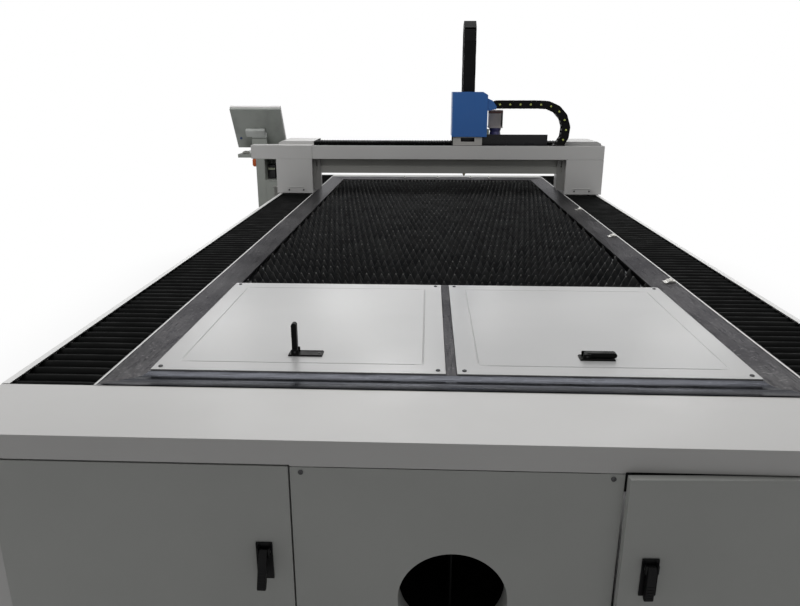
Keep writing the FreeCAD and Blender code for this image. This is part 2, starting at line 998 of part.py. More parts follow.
left_tray = extruded(
    "left_tray",
    "XZ_Plane",
    [
        ("-side_x", "side_chain_floor - sheet_wall"),
        ("-side_x - side_tray_width - sheet_wall", "side_chain_floor - sheet_wall"),
        ("-side_x - side_tray_width - sheet_wall", "side_chain_floor + side_tray_lip"),
        ("-side_x - side_tray_width", "side_chain_floor + side_tray_lip"),
        ("-side_x - side_tray_width", "side_chain_floor"),
        ("-side_x", "side_chain_floor"),
    ],
    "side_chain_straight + 2 * side_tray_width",
    ("0", "side_chain_fixed - side_chain_straight / 2 + side_tray_shift", "0"),
)
keep(join("side_left_weld", [left_sheet, left_tray]), "side_panel_left")

rear_sheet = block(
    "rear_sheet",
    ("-side_x", "side_x"),
    ("rear_y - sheet_wall", "rear_y"),
    ("skirt_gap", "deck_height"),
)
rear_deck = block(
    "rear_deck",
    ("-way_inner", "way_inner"),
    ("slats_stop + rear_band", "rear_y - sheet_wall"),
    ("deck_height - sheet_wall", "deck_height"),
)
keep(join("rear_weld", [rear_sheet, rear_deck]), "rear_panel")

channel = extruded(
    "way_channel",
    "XZ_Plane",
    [
        ("way_inner", "way_floor"),
        ("side_x - sheet_wall", "way_floor"),
        ("side_x - sheet_wall", "deck_height - seam_play"),
        ("side_x", "deck_height - seam_play"),
        ("side_x", "deck_height"),
        ("side_x - trim_width", "deck_height"),
        ("side_x - trim_width", "way_floor + sheet_wall"),
        ("way_inner + sheet_wall", "way_floor + sheet_wall"),
        ("way_inner + sheet_wall", "deck_height + sheet_wall"),
        ("way_inner", "deck_height + sheet_wall"),
    ],
    "rear_y - sheet_wall - ledge_back",
    ("0", "(rear_y - sheet_wall + ledge_back) / 2", "0"),
)
keep(both_sides("way_channels", channel), "way_channels")

way_rail = block(
    "way_rail",
    ("rail_at - rail_width / 2", "rail_at + rail_width / 2"),
    ("ledge_back + rail_start", "rear_y - rail_stop"),
    ("way_floor + sheet_wall", "way_floor + sheet_wall + rail_height"),
)
keep(both_sides("way_rails", way_rail), "y_rails")
way_rack = block(
    "way_rack",
    ("rack_at - rack_width / 2", "rack_at + rack_width / 2 - tooth_depth"),
    ("ledge_back + rail_start", "rear_y - rail_stop"),
    ("way_floor + sheet_wall", "way_floor + sheet_wall + rack_height"),
)
keep(both_sides("way_racks", way_rack), "y_racks")

# ------------------------------------------------------------------ bellows


def folded(place, span, top, thick, height, pitch, width):
    """A folded cover: a zigzag top over a flat underside, pushed along its width."""
    length = span[1] - span[0]
    folds = max(int(length / pitch), 1)
    step = length / folds
    outline = [place(span[0], top - thick)]
    for i in range(folds):
        outline.append(place(span[0] + i * step, top - height))
        outline.append(place(span[0] + (i + 0.5) * step, top))
    outline.append(place(span[1], top - height))
    outline.append(place(span[1], top - thick))
    return prism(outline, width)


def way_bellows():
    """Four covers over the ways: in front of the gantry and behind it, on both sides."""
    inner = size("way_inner") + size("sheet_wall") + size("bellows_side_gap")
    outer = size("side_x") - size("trim_width") - size("bellows_side_gap")
    spans = (
        (size("ledge_back"), size("gantry_y") + size("bellows_tuck")),
        (size("gantry_back") - size("bellows_tuck"), size("rear_y") - size("sheet_wall")),
    )
    shapes = []
    for span in spans:
        for start in (inner, -outer):
            shapes.append(
                folded(
                    lambda along, up: point(start, along, up),
                    span,
                    size("bellows_top"),
                    size("bellows_thick"),
                    size("fold_height"),
                    size("fold_pitch"),
                    point(outer - inner, 0, 0),
                )
            )
    return Part.makeCompound(shapes)


keep(coded("way_bellows", way_bellows()), "way_bellows")

# ------------------------------------------------------------------ covers, slats and their combs


def cover(name, side):
    """One lift-off cover plate with its four pressed lines."""
    inner = "mid_bar / 2 + seam_play"
    outer = "opening_half - seam_play"
    blank = block(
        name + "_sheet",
        (inner, outer),
        ("cover_start", "cover_stop"),
        ("deck_height + cover_lift", "cover_top"),
    )
    deep = ("cover_top - groove_depth", "cover_top + seam_play")
    lines = [
        (
            (f"{inner} + groove_inset", f"{inner} + groove_inset + groove_width"),
            ("cover_start + groove_inset + groove_short", "cover_stop - groove_inset - groove_short"),
        ),
        (
            (f"{outer} - groove_inset", f"{outer} - groove_inset + groove_width"),
            ("cover_start + groove_inset + groove_short", "cover_stop - groove_inset - groove_short"),
        ),
        (
            (f"{inner} + groove_inset + groove_short", f"{outer} - groove_inset - groove_short"),
            ("cover_start + groove_inset", "cover_start + groove_inset + groove_width"),
        ),
        (
            (f"{inner} + groove_inset + groove_short", f"{outer} - groove_inset - groove_short"),
            ("cover_stop - groove_inset", "cover_stop - groove_inset + groove_width"),
        ),
    ]
    grooves = [block(f"{name}_line_{i}", across, along, deep) for i, (across, along) in enumerate(lines)]
    plate = cut(name + "_pressed", blank, grooves)
    if side < 0:
        plate = other_side(name + "_image", plate)
    return plate


keep(cover("right_cover", 1), "cover_right")
keep(cover("left_cover", -1), "cover_left")

comb = block(
    "comb",
    ("opening_half - comb_wall", "opening_half"),
    ("slats_start", "slats_stop"),
    ("deck_height - slat_height", "deck_height - slat_height + comb_height"),
)
comb_shelf = block(
    "comb_shelf",
    ("opening_half - comb_shelf_width", "opening_half"),
    ("slats_start", "slats_stop"),
    ("deck_height - slat_height - comb_wall", "deck_height - slat_height"),
)
comb_bracket = block(
    "comb_bracket",
    ("opening_half", "way_inner - web_inset"),
    ("slats_start", "slats_stop"),
    ("deck_height - slat_height - comb_wall", "deck_height - slat_height"),
)
half_comb = join("half_comb", [comb, comb_shelf, comb_bracket])
keep(both_sides("combs", half_comb), "slat_combs")


def slats():
    """Saw-tooth bars on edge, one behind the other."""
    half = size("opening_half") - size("comb_wall") - size("side_gap")
    top = size("deck_height")
    low = top - size("slat_height")
    count = int(size("slat_count"))
    teeth = int(size("tooth_count"))
    pitch = (size("slats_stop") - size("slats_start")) / count
    step = 2 * half / teeth
    bars = []
    for row in range(count):
        along = size("slats_start") + (row + 0.5) * pitch - size("slat_wall") / 2
        outline = [point(-half, along, low)]
        for i in range(teeth):
            outline.append(point(-half + i * step, along, top - size("tooth_height")))
            outline.append(point(-half + (i + 0.5) * step, along, top))
        outline.append(point(half, along, top - size("tooth_height")))
        outline.append(point(half, along, low))
        bars.append(prism(outline, point(0, size("slat_wall"), 0)))
    return Part.makeCompound(bars)


keep(coded("slats", slats()), "slats")

# ------------------------------------------------------------------ fasteners on the deck


def band_height(inset):
    """The height of a sloping band's top, at a distance in from its outer edge."""
    width = size("way_inner") - size("opening_half")
    return size("deck_height") - size("band_drop") * inset / width


CLAMP_SHARES = (0.0214, 0.2814, 0.5273)
STUD_STEPS = (-1, 0, 1, 1.56)


def cover_screws():
    """A screw in each corner of the two covers."""
    inset = size("screw_inset")
    edge = size("seam_play") + inset
    radius = size("screw_head")
    return [
        prism(ring_points(4, radius, side * x, y, size("cover_top")), point(0, 0, size("screw_height")))
        for side in (1, -1)
        for x in (size("mid_bar") / 2 + edge, size("opening_half") - edge)
        for y in (size("cover_start") + inset, size("cover_stop") - inset)
    ]


def band_clamps():
    """Clamps along the right band, their undersides on its slope."""
    inset = size("clamp_inset")
    reach = inset + size("clamp_width")
    outer = size("way_inner") - inset
    inner = size("way_inner") - reach
    top = size("deck_height") + size("clamp_rise")
    field = size("slats_stop") - size("slats_start")
    clamps = []
    for share in CLAMP_SHARES:
        along = size("slats_start") + share * field
        outline = [
            point(inner, along, band_height(reach)),
            point(outer, along, band_height(inset)),
            point(outer, along, top),
            point(inner, along, top),
        ]
        clamps.append(prism(outline, point(0, size("clamp_length"), 0)))
    return clamps


def rear_studs():
    """Studs in a row along the rear band, their undersides on its slope."""
    half = size("stud_side") / 2
    middle = size("slats_stop") + size("rear_band") / 2
    level = size("deck_height") - size("band_drop") / 2
    rise = half * size("band_drop") / size("rear_band")
    top = size("deck_height") + size("stud_rise")
    studs = []
    for step in STUD_STEPS:
        x = step * size("stud_pitch")
        outline = [
            point(x, middle - half, level - rise),
            point(x, middle + half, level + rise),
            point(x, middle + half, top),
            point(x, middle - half, top),
        ]
        studs.append(prism(outline, point(2 * half, 0, 0)))
    return studs


def deck_fasteners():
    return Part.makeCompound(cover_screws() + band_clamps() + rear_studs())


keep(coded("deck_fasteners", deck_fasteners()), "deck_fasteners")

# ------------------------------------------------------------------ doors and latches


def door(name):
    """A folded pan, open at the back, standing in its opening."""
    left = "panel_half + seam_gap"
    right = "panel_half + seam_gap + door_width"
    outside = block(
        name + "_outside",
        (left, right),
        ("front_y - 1", "front_y - 1 + door_thick"),
        ("deck_height - header_drop - door_drop", "deck_height - header_drop"),
    )
    inside = block(
        name + "_inside",
        (f"{left} + sheet_wall", f"{right} - sheet_wall"),
        ("front_y - 1 + sheet_wall", "front_y + door_thick"),
        ("deck_height - header_drop - door_drop + sheet_wall", "deck_height - header_drop - sheet_wall"),
    )
    return cut(name + "_pan", outside, [inside])


def latch_plate(x, y, z):
    """Base plate lying flat with two ears that hold the lever's heel at its -X end."""
    length = size("latch_length")
    width = size("latch_width")
    wall = size("latch_wall")
    solid = frame_shape((x - length / 2, x + length / 2), (y - width / 2, y + width / 2), (z, z + wall))
    half = size("lever_width") / 2 + size("side_gap")
    for side in (1, -1):
        ends = sorted((y + side * half, y + side * (half + size("ear_wall"))))
        ear = frame_shape(
            (x - length / 2 + size("ear_start"), x - length / 2 + size("ear_start") + size("ear_length")),
            ends,
            (z + wall, z + wall + size("lever_thick") + size("fit_gap")),
        )
        solid = solid.fuse(ear)
    return solid.removeSplitter()


def lever_shape(x, y, z, lift):
    """A lever with a round heel and a round end, lifted from its plate by an angle."""
    thick = size("lever_thick")
    px = x - size("latch_length") / 2 + size("ear_start") + size("ear_length") / 2
    pz = z + size("latch_wall") + thick / 2
    half = size("lever_width") / 2
    reach = size("lever_length") - half
    plan = [point(px - thick, y + half, pz - thick), point(px - thick, y - half, pz - thick)]
    plan += [
        point(px + reach + half * math.sin(turn), y - half * math.cos(turn), pz - thick)
        for turn in LEVER_STEPS
    ]
    side = [
        point(px - thick / 2 * math.sin(turn), y - half, pz + thick / 2 * math.cos(turn))
        for turn in LEVER_STEPS
    ]
    side += [point(px + reach + thick, y - half, pz + level * thick / 2) for level in (-1, 1)]
    solid = prism(plan, point(0, 0, 2 * thick)).common(prism(side, point(0, 2 * half, 0)))
    solid.rotate(point(px, y, pz), point(0, 1, 0), -lift)
    return solid


def to_door(shape, side):
    """Moves a latch made flat at the origin onto a door's face: its length hangs down."""
    shape.rotate(point(0, 0, 0), point(0, 1, 0), 90)
    shape.rotate(point(0, 0, 0), point(0, 0, 1), -90)
    shape.translate(
        point(
            side * size("door_latch_at"),
            size("front_y") - 1,
            size("deck_height") - size("door_latch_drop"),
        )
    )
    return shape


def ajar(shape):
    """Turns a piece of the right door about that door's hinge line."""
    hinge_x = size("panel_half") + size("seam_gap") + size("door_width")
    shape.rotate(point(hinge_x, size("front_y") - 1, 0), point(0, 0, 1), size("door_ajar"))
    return shape


latch_y = size("ledge_back") + size("latch_back")
cover_plates = Part.makeCompound(
    [latch_plate(side * size("latch_at"), latch_y, size("cover_top")) for side in (1, -1)]
)
keep(coded("cover_latches", cover_plates), "cover_latch_plates")
keep(coded("left_lever", lever_shape(-size("latch_at"), latch_y, size("cover_top"), 90)), "cover_lever_left")
keep(coded("right_lever", lever_shape(size("latch_at"), latch_y, size("cover_top"), 0)), "cover_lever_right")

right_door_pan = door("right_door")
left_door = other_side("left_door_image", right_door_pan)
keep(left_door, "door_left")
doc.recompute()
keep(coded("right_door_ajar", ajar(right_door_pan.Shape.copy())), "door_right")
keep(coded("left_door_plate", to_door(latch_plate(0, 0, 0), -1)), "door_latch_plate_left")
keep(coded("left_door_lever", to_door(lever_shape(0, 0, 0, size("door_lever_out")), -1)), "door_lever_left")
keep(coded("right_door_plate", ajar(to_door(latch_plate(0, 0, 0), 1))), "door_latch_plate_right")
keep(coded("right_door_lever", ajar(to_door(lever_shape(0, 0, 0, 0), 1))), "door_lever_right")

# ------------------------------------------------------------------ scrap drawers


def drawer(name, start):
    """An open tray that pulls out to the right, with a front sheet and a bar handle."""
    tray = block(
        name + "_tray",
        ("side_x - drawer_width", "side_x - sheet_wall"),
        (start, f"{start} + drawer_length"),
        ("drawer_floor", "drawer_floor + drawer_height"),
    )
    hollow = block(
        name + "_hollow",
        ("side_x - drawer_width + sheet_wall", "side_x - 2 * sheet_wall"),
        (f"{start} + sheet_wall", f"{start} + drawer_length - sheet_wall"),
        ("drawer_floor + sheet_wall", "drawer_floor + drawer_height + plate_wall"),
    )
    lip = block(
        name + "_front",
        ("side_x - sheet_wall", "side_x"),
        (start, f"{start} + drawer_length"),
        ("drawer_floor", "drawer_floor + drawer_height"),
    )
    grip_middle = f"{start} + drawer_length / 2"
    grip_top = "drawer_floor + drawer_height - grip_drop"
    grip = block(
        name + "_grip",
        ("side_x + grip_out", "side_x + grip_out + grip_thick"),
        (f"{grip_middle} - grip_length / 2", f"{grip_middle} + grip_length / 2"),
        (f"{grip_top} - grip_thick", grip_top),
    )
    stems = [
        block(
            f"{name}_stem_{i}",
            ("side_x", "side_x + grip_out"),
            (
                f"{grip_middle} + {facing} * (grip_length - grip_thick) / 2 - grip_thick / 2",
                f"{grip_middle} + {facing} * (grip_length - grip_thick) / 2 + grip_thick / 2",
            ),
            (f"{grip_top} - grip_thick", grip_top),
        )
        for i, facing in enumerate((-1, 1))
    ]
    return join(name + "_weld", [cut(name + "_open", tray, [hollow]), lip, grip] + stems)


keep(drawer("front_drawer", f"-{drawer_middle} - drawer_length / 2"), "scrap_drawer_front")
keep(drawer("rear_drawer", f"{drawer_middle} - drawer_length / 2"), "scrap_drawer_rear")

# ------------------------------------------------------------------ gantry

beam = extruded(
    "beam_box",
    "YZ_Plane",
    [
        ("beam_y - beam_step", "deck_height + beam_low"),
        ("beam_back", "deck_height + beam_low"),
        ("beam_back", "beam_top"),
        ("beam_y", "beam_top"),
        ("beam_y", "deck_height + beam_low + step_up"),
        ("beam_y - beam_step", "deck_height + beam_low + step_up - beam_step"),
    ],
    "2 * beam_half",
    ("0", "0", "0"),
)
riser = block(
    "riser",
    ("leg_inner + shoe_inset", "rack_at - rack_width / 2"),
    ("beam_y", "beam_back"),
    ("shoe_top", "deck_height + beam_low"),
)
shoe = block(
    "shoe",
    ("leg_inner + shoe_inset", "side_x - trim_width - plate_wall"),
    ("gantry_y + shoe_setback", "gantry_back - shoe_setback"),
    ("deck_height - shoe_drop", "shoe_top"),
)
end_plate = block(
    "end_plate",
    ("way_inner + plate_wall", "side_x - 2 * trim_width"),
    ("gantry_y + bellows_tuck", "gantry_y + shoe_setback"),
    ("deck_height - shoe_drop", "deck_height - 2 * sheet_wall"),
)
rear_end_plate = block(
    "rear_end_plate",
    ("way_inner + plate_wall", "side_x - 2 * trim_width"),
    ("gantry_back - shoe_setback", "gantry_back - bellows_tuck"),
    ("deck_height - shoe_drop", "deck_height - 2 * sheet_wall"),
)
shoe_hole = block(
    "shoe_hole",
    ("motor_x - pinion_radius - tooth_depth", "motor_x + pinion_radius + tooth_depth"),
    (
        "gantry_back - motor_setback - pinion_radius - tooth_depth",
        "gantry_back - motor_setback + pinion_radius + tooth_depth",
    ),
    ("deck_height - shoe_drop - plate_wall", "shoe_top + plate_wall"),
)
gantry_leg = cut("gantry_leg", join("leg_weld", [riser, shoe, end_plate, rear_end_plate]), [shoe_hole])
rack_bar = block(
    "x_rack_bar",
    ("-seam_at", "seam_at"),
    ("gantry_y + x_rack_at", "gantry_y + x_rack_at + x_rack_width"),
    ("beam_top", "beam_top + x_rack_height"),
)
anchor_block = block(
    "bellows_anchor_block",
    ("bellows_anchor", "bellows_anchor + trim_width"),
    ("gantry_y + beam_fold_at", "gantry_y + beam_fold_at + beam_fold_width"),
    ("beam_top", "fascia_top + beam_fold_rise"),
)
half_gantry = join("half_gantry", [gantry_leg, anchor_block])
side_chain_top = "side_chain_floor + 2 * side_chain_radius + side_chain_height"
chain_arm = block(
    "chain_arm",
    ("-side_x - arm_reach", "-leg_inner - arm_root"),
    ("beam_back - arm_depth", "beam_back"),
    ("deck_height + arm_lift", "deck_height + arm_lift + plate_wall"),
)
chain_drop = block(
    "chain_drop",
    ("-side_x - arm_reach", "-side_x - arm_reach + drop_width"),
    ("beam_back - plate_wall", "beam_back"),
    (side_chain_top, "deck_height + arm_lift + plate_wall"),
)
chain_foot = block(
    "chain_foot",
    ("-side_x - arm_reach", "-side_x - arm_reach + drop_width"),
    ("beam_back - arm_foot", "beam_back"),
    (side_chain_top, f"{side_chain_top} + plate_wall"),
)
keep(
    join(
        "beam_weld",
        [
            beam,
            rack_bar,
            half_gantry,
            other_side("half_gantry_far", half_gantry),
            chain_arm,
            chain_drop,
            chain_foot,
        ],
    ),
    "gantry_beam",
)


def bearing_blocks():
    """Blocks that straddle the bed's rails, two a side."""
    blocks = []
    low = size("way_floor") + size("sheet_wall") + size("block_gap")
    top = size("deck_height") - size("shoe_drop")
    half = size("block_width") / 2
    setback = size("block_setback")
    groove = size("rail_width") / 2 + size("slide_gap")
    groove_top = size("way_floor") + size("sheet_wall") + size("rail_height") + size("slide_gap")
    play = size("seam_play")
    for side in (1, -1):
        x = side * size("rail_at")
        for start in (size("gantry_y") + setback, size("gantry_back") - setback - size("block_length")):
            whole = frame_shape((x - half, x + half), (start, start + size("block_length")), (low, top))
            slot = frame_shape(
                (x - groove, x + groove),
                (start - play, start + size("block_length") + play),
                (low - play, groove_top),
            )
            blocks.append(whole.cut(slot))
    return Part.makeCompound(blocks)


keep(coded("y_blocks", bearing_blocks()), "y_bearing_blocks")

fascia_sheet = extruded(
    "fascia_sheet",
    "YZ_Plane",
    [
        ("gantry_y", "deck_height + fascia_low"),
        ("gantry_y + sheet_wall", "deck_height + fascia_low"),
        ("gantry_y + sheet_wall", "beam_top"),
        ("beam_y + fascia_foot", "beam_top"),
        ("beam_y + fascia_foot", "beam_top + sheet_wall"),
        ("gantry_y + sheet_wall", "beam_top + sheet_wall"),
        ("gantry_y + sheet_wall", "fascia_top - sheet_wall"),
        ("gantry_y + fascia_lip", "fascia_top - sheet_wall"),
        ("gantry_y + fascia_lip", "fascia_top"),
        ("gantry_y", "fascia_top"),
    ],
    "gantry_half - sheet_wall + seam_at - seam_play",
    ("(gantry_half - sheet_wall - seam_at + seam_play) / 2", "0", "0"),
)
keep(fascia_sheet, "gantry_fascia")


def raised_cap():
    """The raised box over the beam's right end: open underneath and on its inner side."""
    wall = size("sheet_wall")
    inner = size("leg_inner")
    outer = size("gantry_half")
    front = size("cap_y")
    back = size("gantry_back")
    low = size("beam_top")
    top = size("fascia_top") + size("end_rise")
    chamfer = size("cap_chamfer")

    def section(inset, extra):
        far = outer - inset
        return [
            point(inner - extra, 0, low - extra),
            point(far, 0, low - extra),
            point(far, 0, top - inset - chamfer / 2),
            point(far - chamfer, 0, top - inset),
            point(inner - extra, 0, top - inset),
        ]

    outside = prism(section(0, 0), point(0, back - front, 0))
    inside = prism(section(wall, 2 * wall), point(0, back - front - 2 * wall, 0))
    outside.translate(point(0, front, 0))
    inside.translate(point(0, front + wall, 0))
    return outside.cut(inside)


def front_closure():
    """The wall that closes the trough's right end, in front of the raised box."""
    outer = size("gantry_half")
    span = (size("gantry_y") + size("sheet_wall") + size("side_gap"), size("cap_y"))
    return frame_shape((outer - size("sheet_wall"), outer), span, (size("beam_top"), size("fascia_top")))


def left_arm():
    """The left front band with its flat top, which runs on past the leg as a short arm."""
    wall = size("sheet_wall")
    far = -size("gantry_half") - size("overhang")
    near = -size("seam_at") - size("seam_play")
    low = size("deck_height") + size("fascia_low")
    top = size("fascia_top")
    outside = frame_shape((far, near), (size("gantry_y"), size("cap_y")), (low, top))
    inside = frame_shape(
        (far + wall, near + wall),
        (size("gantry_y") + wall, size("cap_y") + wall),
        (low - wall, top - wall),
    )
    return outside.cut(inside)


keep(coded("right_cap", raised_cap().fuse(front_closure()).removeSplitter()), "end_cover_right")
left_cap = raised_cap().mirror(point(0, 0, 0), point(1, 0, 0))
keep(coded("left_cap", left_cap.fuse(left_arm()).removeSplitter()), "end_cover_left")

# lower leg covers: a box open at the back of its top, with the leg's inner post beside it
leg_box = block(
    "leg_box",
    ("leg_inner", "gantry_half"),
    ("gantry_y", "gantry_back"),
    ("deck_height + leg_low", "deck_height + fascia_low - seam_play"),
)
leg_hollow = block(
    "leg_hollow",
    ("leg_inner + sheet_wall", "gantry_half - sheet_wall"),
    ("gantry_y + sheet_wall", "gantry_back - sheet_wall"),
    ("deck_height + leg_low - seam_play", "deck_height + fascia_low + seam_play"),
)
beam_pass = block(
    "beam_pass",
    ("leg_inner - plate_wall", "leg_inner + plate_wall"),
    ("beam_y - beam_step - seam_play", "beam_back + seam_play"),
    ("deck_height + beam_low - seam_play", "deck_height + fascia_low + seam_play"),
)
arm_notch = block(
    "arm_notch",
    ("gantry_half - plate_wall", "gantry_half + plate_wall"),
    ("beam_back - arm_depth - block_gap", "beam_back + block_gap"),
    ("deck_height + leg_low - seam_play", "deck_height + arm_lift + plate_wall + block_gap"),
)
leg_cover = cut("leg_cover", leg_box, [leg_hollow, beam_pass, arm_notch])
keep(both_sides("leg_covers", leg_cover), "leg_covers")

post_plate = block(
    "post_plate",
    ("leg_inner - post_width", "leg_inner"),
    ("beam_y - 2 * beam_step", "beam_y - beam_step"),
    ("deck_height + post_foot", "beam_top - sheet_wall"),
)
post_side = block(
    "post_side",
    ("leg_inner - plate_wall", "leg_inner"),
    ("beam_y - beam_step", "beam_back"),
    ("deck_height + post_foot", "deck_height + beam_low"),
)
post_slot = block(
    "post_slot_cut",
    ("leg_inner - post_width / 2 - post_slot / 2", "leg_inner - post_width / 2 + post_slot / 2"),
    ("beam_y - 3 * beam_step", "beam_y"),
    ("deck_height + slot_low", "deck_height + slot_low + slot_length"),
)
leg_post = cut("leg_post", join("leg_post_weld", [post_plate, post_side]), [post_slot])
keep(both_sides("leg_posts", leg_post), "leg_posts")

motor_box = block(
    "y_motor_box",
    ("motor_x - motor_side / 2", "motor_x + motor_side / 2"),
    (
        "gantry_back - motor_setback - motor_side / 2",
        "gantry_back - motor_setback + motor_side / 2",
    ),
    ("shoe_top + gear_height", "shoe_top + gear_height + motor_height"),
)
gear_case = doc.addObject("Part::Prism", "y_gear_case")
gear_case.Polygon = TURNED_SIDES
bind(gear_case, "Circumradius", "motor_side / 2 - gear_step")
bind(gear_case, "Height", "gear_height")
for letter, place in zip("xyz", ("motor_x", "gantry_back - motor_setback", "shoe_top")):
    bind(gear_case, "Placement.Base." + letter, place)
keep(both_sides("y_drives", join("y_drive", [motor_box, gear_case])), "y_motors")


def pinion(radius, teeth, depth, low, high, x, y):
    """A spur pinion on a vertical shaft that runs up into its gear case."""
    outline = []
    for i in range(teeth):
        for share, reach in ((0.0, radius - depth), (0.3, radius), (0.6, radius), (0.9, radius - depth)):
            angle = 2 * math.pi * (i + share) / teeth
            outline.append(point(x + reach * math.cos(angle), y + reach * math.sin(angle), low))
    return prism(outline, point(0, 0, high - low))


def y_pinion(side):
    low = size("way_floor") + 2 * size("sheet_wall")
    x = side * size("motor_x")
    y = size("gantry_back") - size("motor_setback")
    gear = pinion(
        size("pinion_radius"),
        int(size("pinion_teeth")),
        size("tooth_depth"),
        low,
        low + size("rack_height") - 2 * size("sheet_wall"),
        x,
        y,
    )
    radius = size("shaft_radius")
    shaft = faceted(SHAFT_SIDES, [(radius, low), (radius, size("shoe_top"))], x, y)
    return gear.fuse(shaft)


keep(coded("right_pinion", y_pinion(1)), "y_pinion_right")
keep(coded("left_pinion", y_pinion(-1)), "y_pinion_left")

near_rail = block(
    "near_x_rail",
    ("-leg_inner", "leg_inner"),
    ("gantry_y + x_rail_at", "gantry_y + x_rail_at + x_rail_width"),
    ("beam_top", "beam_top + x_rail_height"),
)
far_rail = block(
    "far_x_rail",
    ("-leg_inner", "leg_inner"),
    ("gantry_y + x_rail_far", "gantry_y + x_rail_far + x_rail_width"),
    ("beam_top", "beam_top + x_rail_height"),
)
keep(group("x_rail_pair", [near_rail, far_rail]), "x_rails")

tray_floor = block(
    "tray_floor",
    ("tray_start", "gantry_half - seam_gap"),
    ("gantry_y + sheet_wall + fit_gap", "cap_y - seam_play"),
    ("beam_top + sheet_wall", "beam_top + sheet_wall + tray_wall"),
)
tray_wall_sheet = block(
    "tray_back_wall",
    ("tray_start", "tray_end"),
    ("cap_y - seam_play - tray_wall", "cap_y - seam_play"),
    ("beam_top + sheet_wall", "beam_top + tray_back"),
)
keep(join("chain_tray_sheet", [tray_floor, tray_wall_sheet]), "chain_tray")


def x_bellows():
    """Folded covers over the beam's rails, on each side of the carriage."""
    near_y = size("gantry_y") + size("beam_fold_at")
    spans = (
        (-size("bellows_anchor"), size("head_at") - size("saddle_left")),
        (size("x_motor_at") + size("shelf_right"), size("bellows_anchor")),
    )
    shapes = [
        folded(
            lambda across, up: point(across, near_y, up),
            span,
            size("fascia_top") + size("beam_fold_rise"),
            size("beam_fold_thick"),
            size("fold_height"),
            size("fold_pitch"),
            point(0, size("beam_fold_width"), 0),
        )
        for span in spans
    ]
    return Part.makeCompound(shapes)


keep(coded("x_bellows", x_bellows()), "x_bellows")

# ------------------------------------------------------------------ carriage


def rail_blocks(x0, x1, low):
    """Four blocks that straddle the beam's rails."""
    y0 = size("gantry_y")
    length = size("x_block_length")
    half = size("x_block_half")
    play = size("seam_play")
    groove = size("x_rail_width") / 2 + size("slide_gap")
    groove_top = size("beam_top") + size("x_rail_height") + size("slide_gap")
    blocks = []
    for rail_y in (size("x_rail_at"), size("x_rail_far")):
        middle = y0 + rail_y + size("x_rail_width") / 2
        for start in (x0, x1 - length):
            whole = frame_shape(
                (start, start + length),
                (middle - half, middle + half),
                (size("beam_top") + size("block_gap"), low),
            )
            slot = frame_shape(
                (start - play, start + length + play),
                (middle - groove, middle + groove),
                (size("beam_top"), groove_top),
            )
            blocks.append(whole.cut(slot))
    return blocks


def window_bracket(x0, x1, low):
    """The plate under the cover's front, with its window."""
    wall = size("plate_wall")
    front = size("gantry_y") + size("saddle_front")
    window_top = size("deck_height") + size("head_cover_low") - size("window_drop")
    half = size("window_width") / 2
    plate = frame_shape(
        (x0 + size("sheet_wall"), x1 - wall),
        (front, front + size("trim_width")),
        (size("fascia_top") + size("seam_gap"), low),
    )
    window = frame_shape(
        (size("head_at") - half, size("head_at") + half),
        (size("gantry_y"), front + wall),
        (window_top - size("window_height"), window_top),
    )
    return plate.cut(window)


def motor_shelf(x1, low):
    """The shelf that carries the X motor, on its riser, with the hole for the pinion's shaft."""
    wall = size("plate_wall")
    motor_x = size("x_motor_at")
    right = motor_x + size("shelf_right")
    y0 = size("gantry_y") + size("beam_fold_at")
    back = y0 + size("shelf_depth")
    shelf_low = size("deck_height") + size("x_motor_low") - size("x_gear_height") - size("shelf_wall")
    shelf_top = shelf_low + size("shelf_wall")
    hole = size("shelf_hole")
    middle = size("gantry_y") + size("drive_at")
    riser = frame_shape((x1 - wall, x1), (y0, back), (shelf_low, low))
    shelf = frame_shape((x1 - wall, right), (y0, back), (shelf_low, shelf_top))
    shaft_hole = frame_shape(
        (motor_x - hole, motor_x + hole),
        (middle - hole, middle + hole),
        (shelf_low - wall, shelf_top + wall),
    )
    lip = frame_shape(
        (right - size("lip_wall"), right),
        (y0 + size("trim_width"), back),
        (size("beam_top") + size("lip_low"), shelf_top),
    )
    return riser.fuse(shelf.cut(shaft_hole)).fuse(lip)


def z_plate():
    """The upright plate behind the saddle, with the two guides that the Z slide runs on."""
    x = size("head_at")
    half = size("z_plate_width") / 2
    wall = size("z_plate_wall")
    front = size("z_plate_y")
    low = size("deck_height") + size("z_plate_low")
    top = low + size("z_plate_height")
    inset = size("guide_inset")
    guide_half = size("x_rail_width") / 2
    solid = frame_shape((x - half, x + half), (front, front + wall), (low, top))
    for side in (-1, 1):
        middle = x + side * size("guide_at")
        guide = frame_shape(
            (middle - guide_half, middle + guide_half),
            (front + wall, front + 2 * wall),
            (low + inset, top - inset),
        )
        solid = solid.fuse(guide)
    return solid


def carriage():
    """Saddle on four rail blocks, with its front window bracket, the motor's shelf and the Z plate."""
    x0 = size("head_at") - size("saddle_left")
    x1 = size("head_at") + size("saddle_right")
    low = size("saddle_z")
    solid = frame_shape(
        (x0, x1),
        (size("gantry_y") + size("saddle_front"), size("z_plate_y") + size("z_plate_wall")),
        (low, low + size("saddle_wall")),
    )
    for piece in rail_blocks(x0, x1, low) + [window_bracket(x0, x1, low), motor_shelf(x1, low), z_plate()]:
        solid = solid.fuse(piece)
    return solid.removeSplitter()


keep(coded("carriage_weld", carriage()), "carriage")


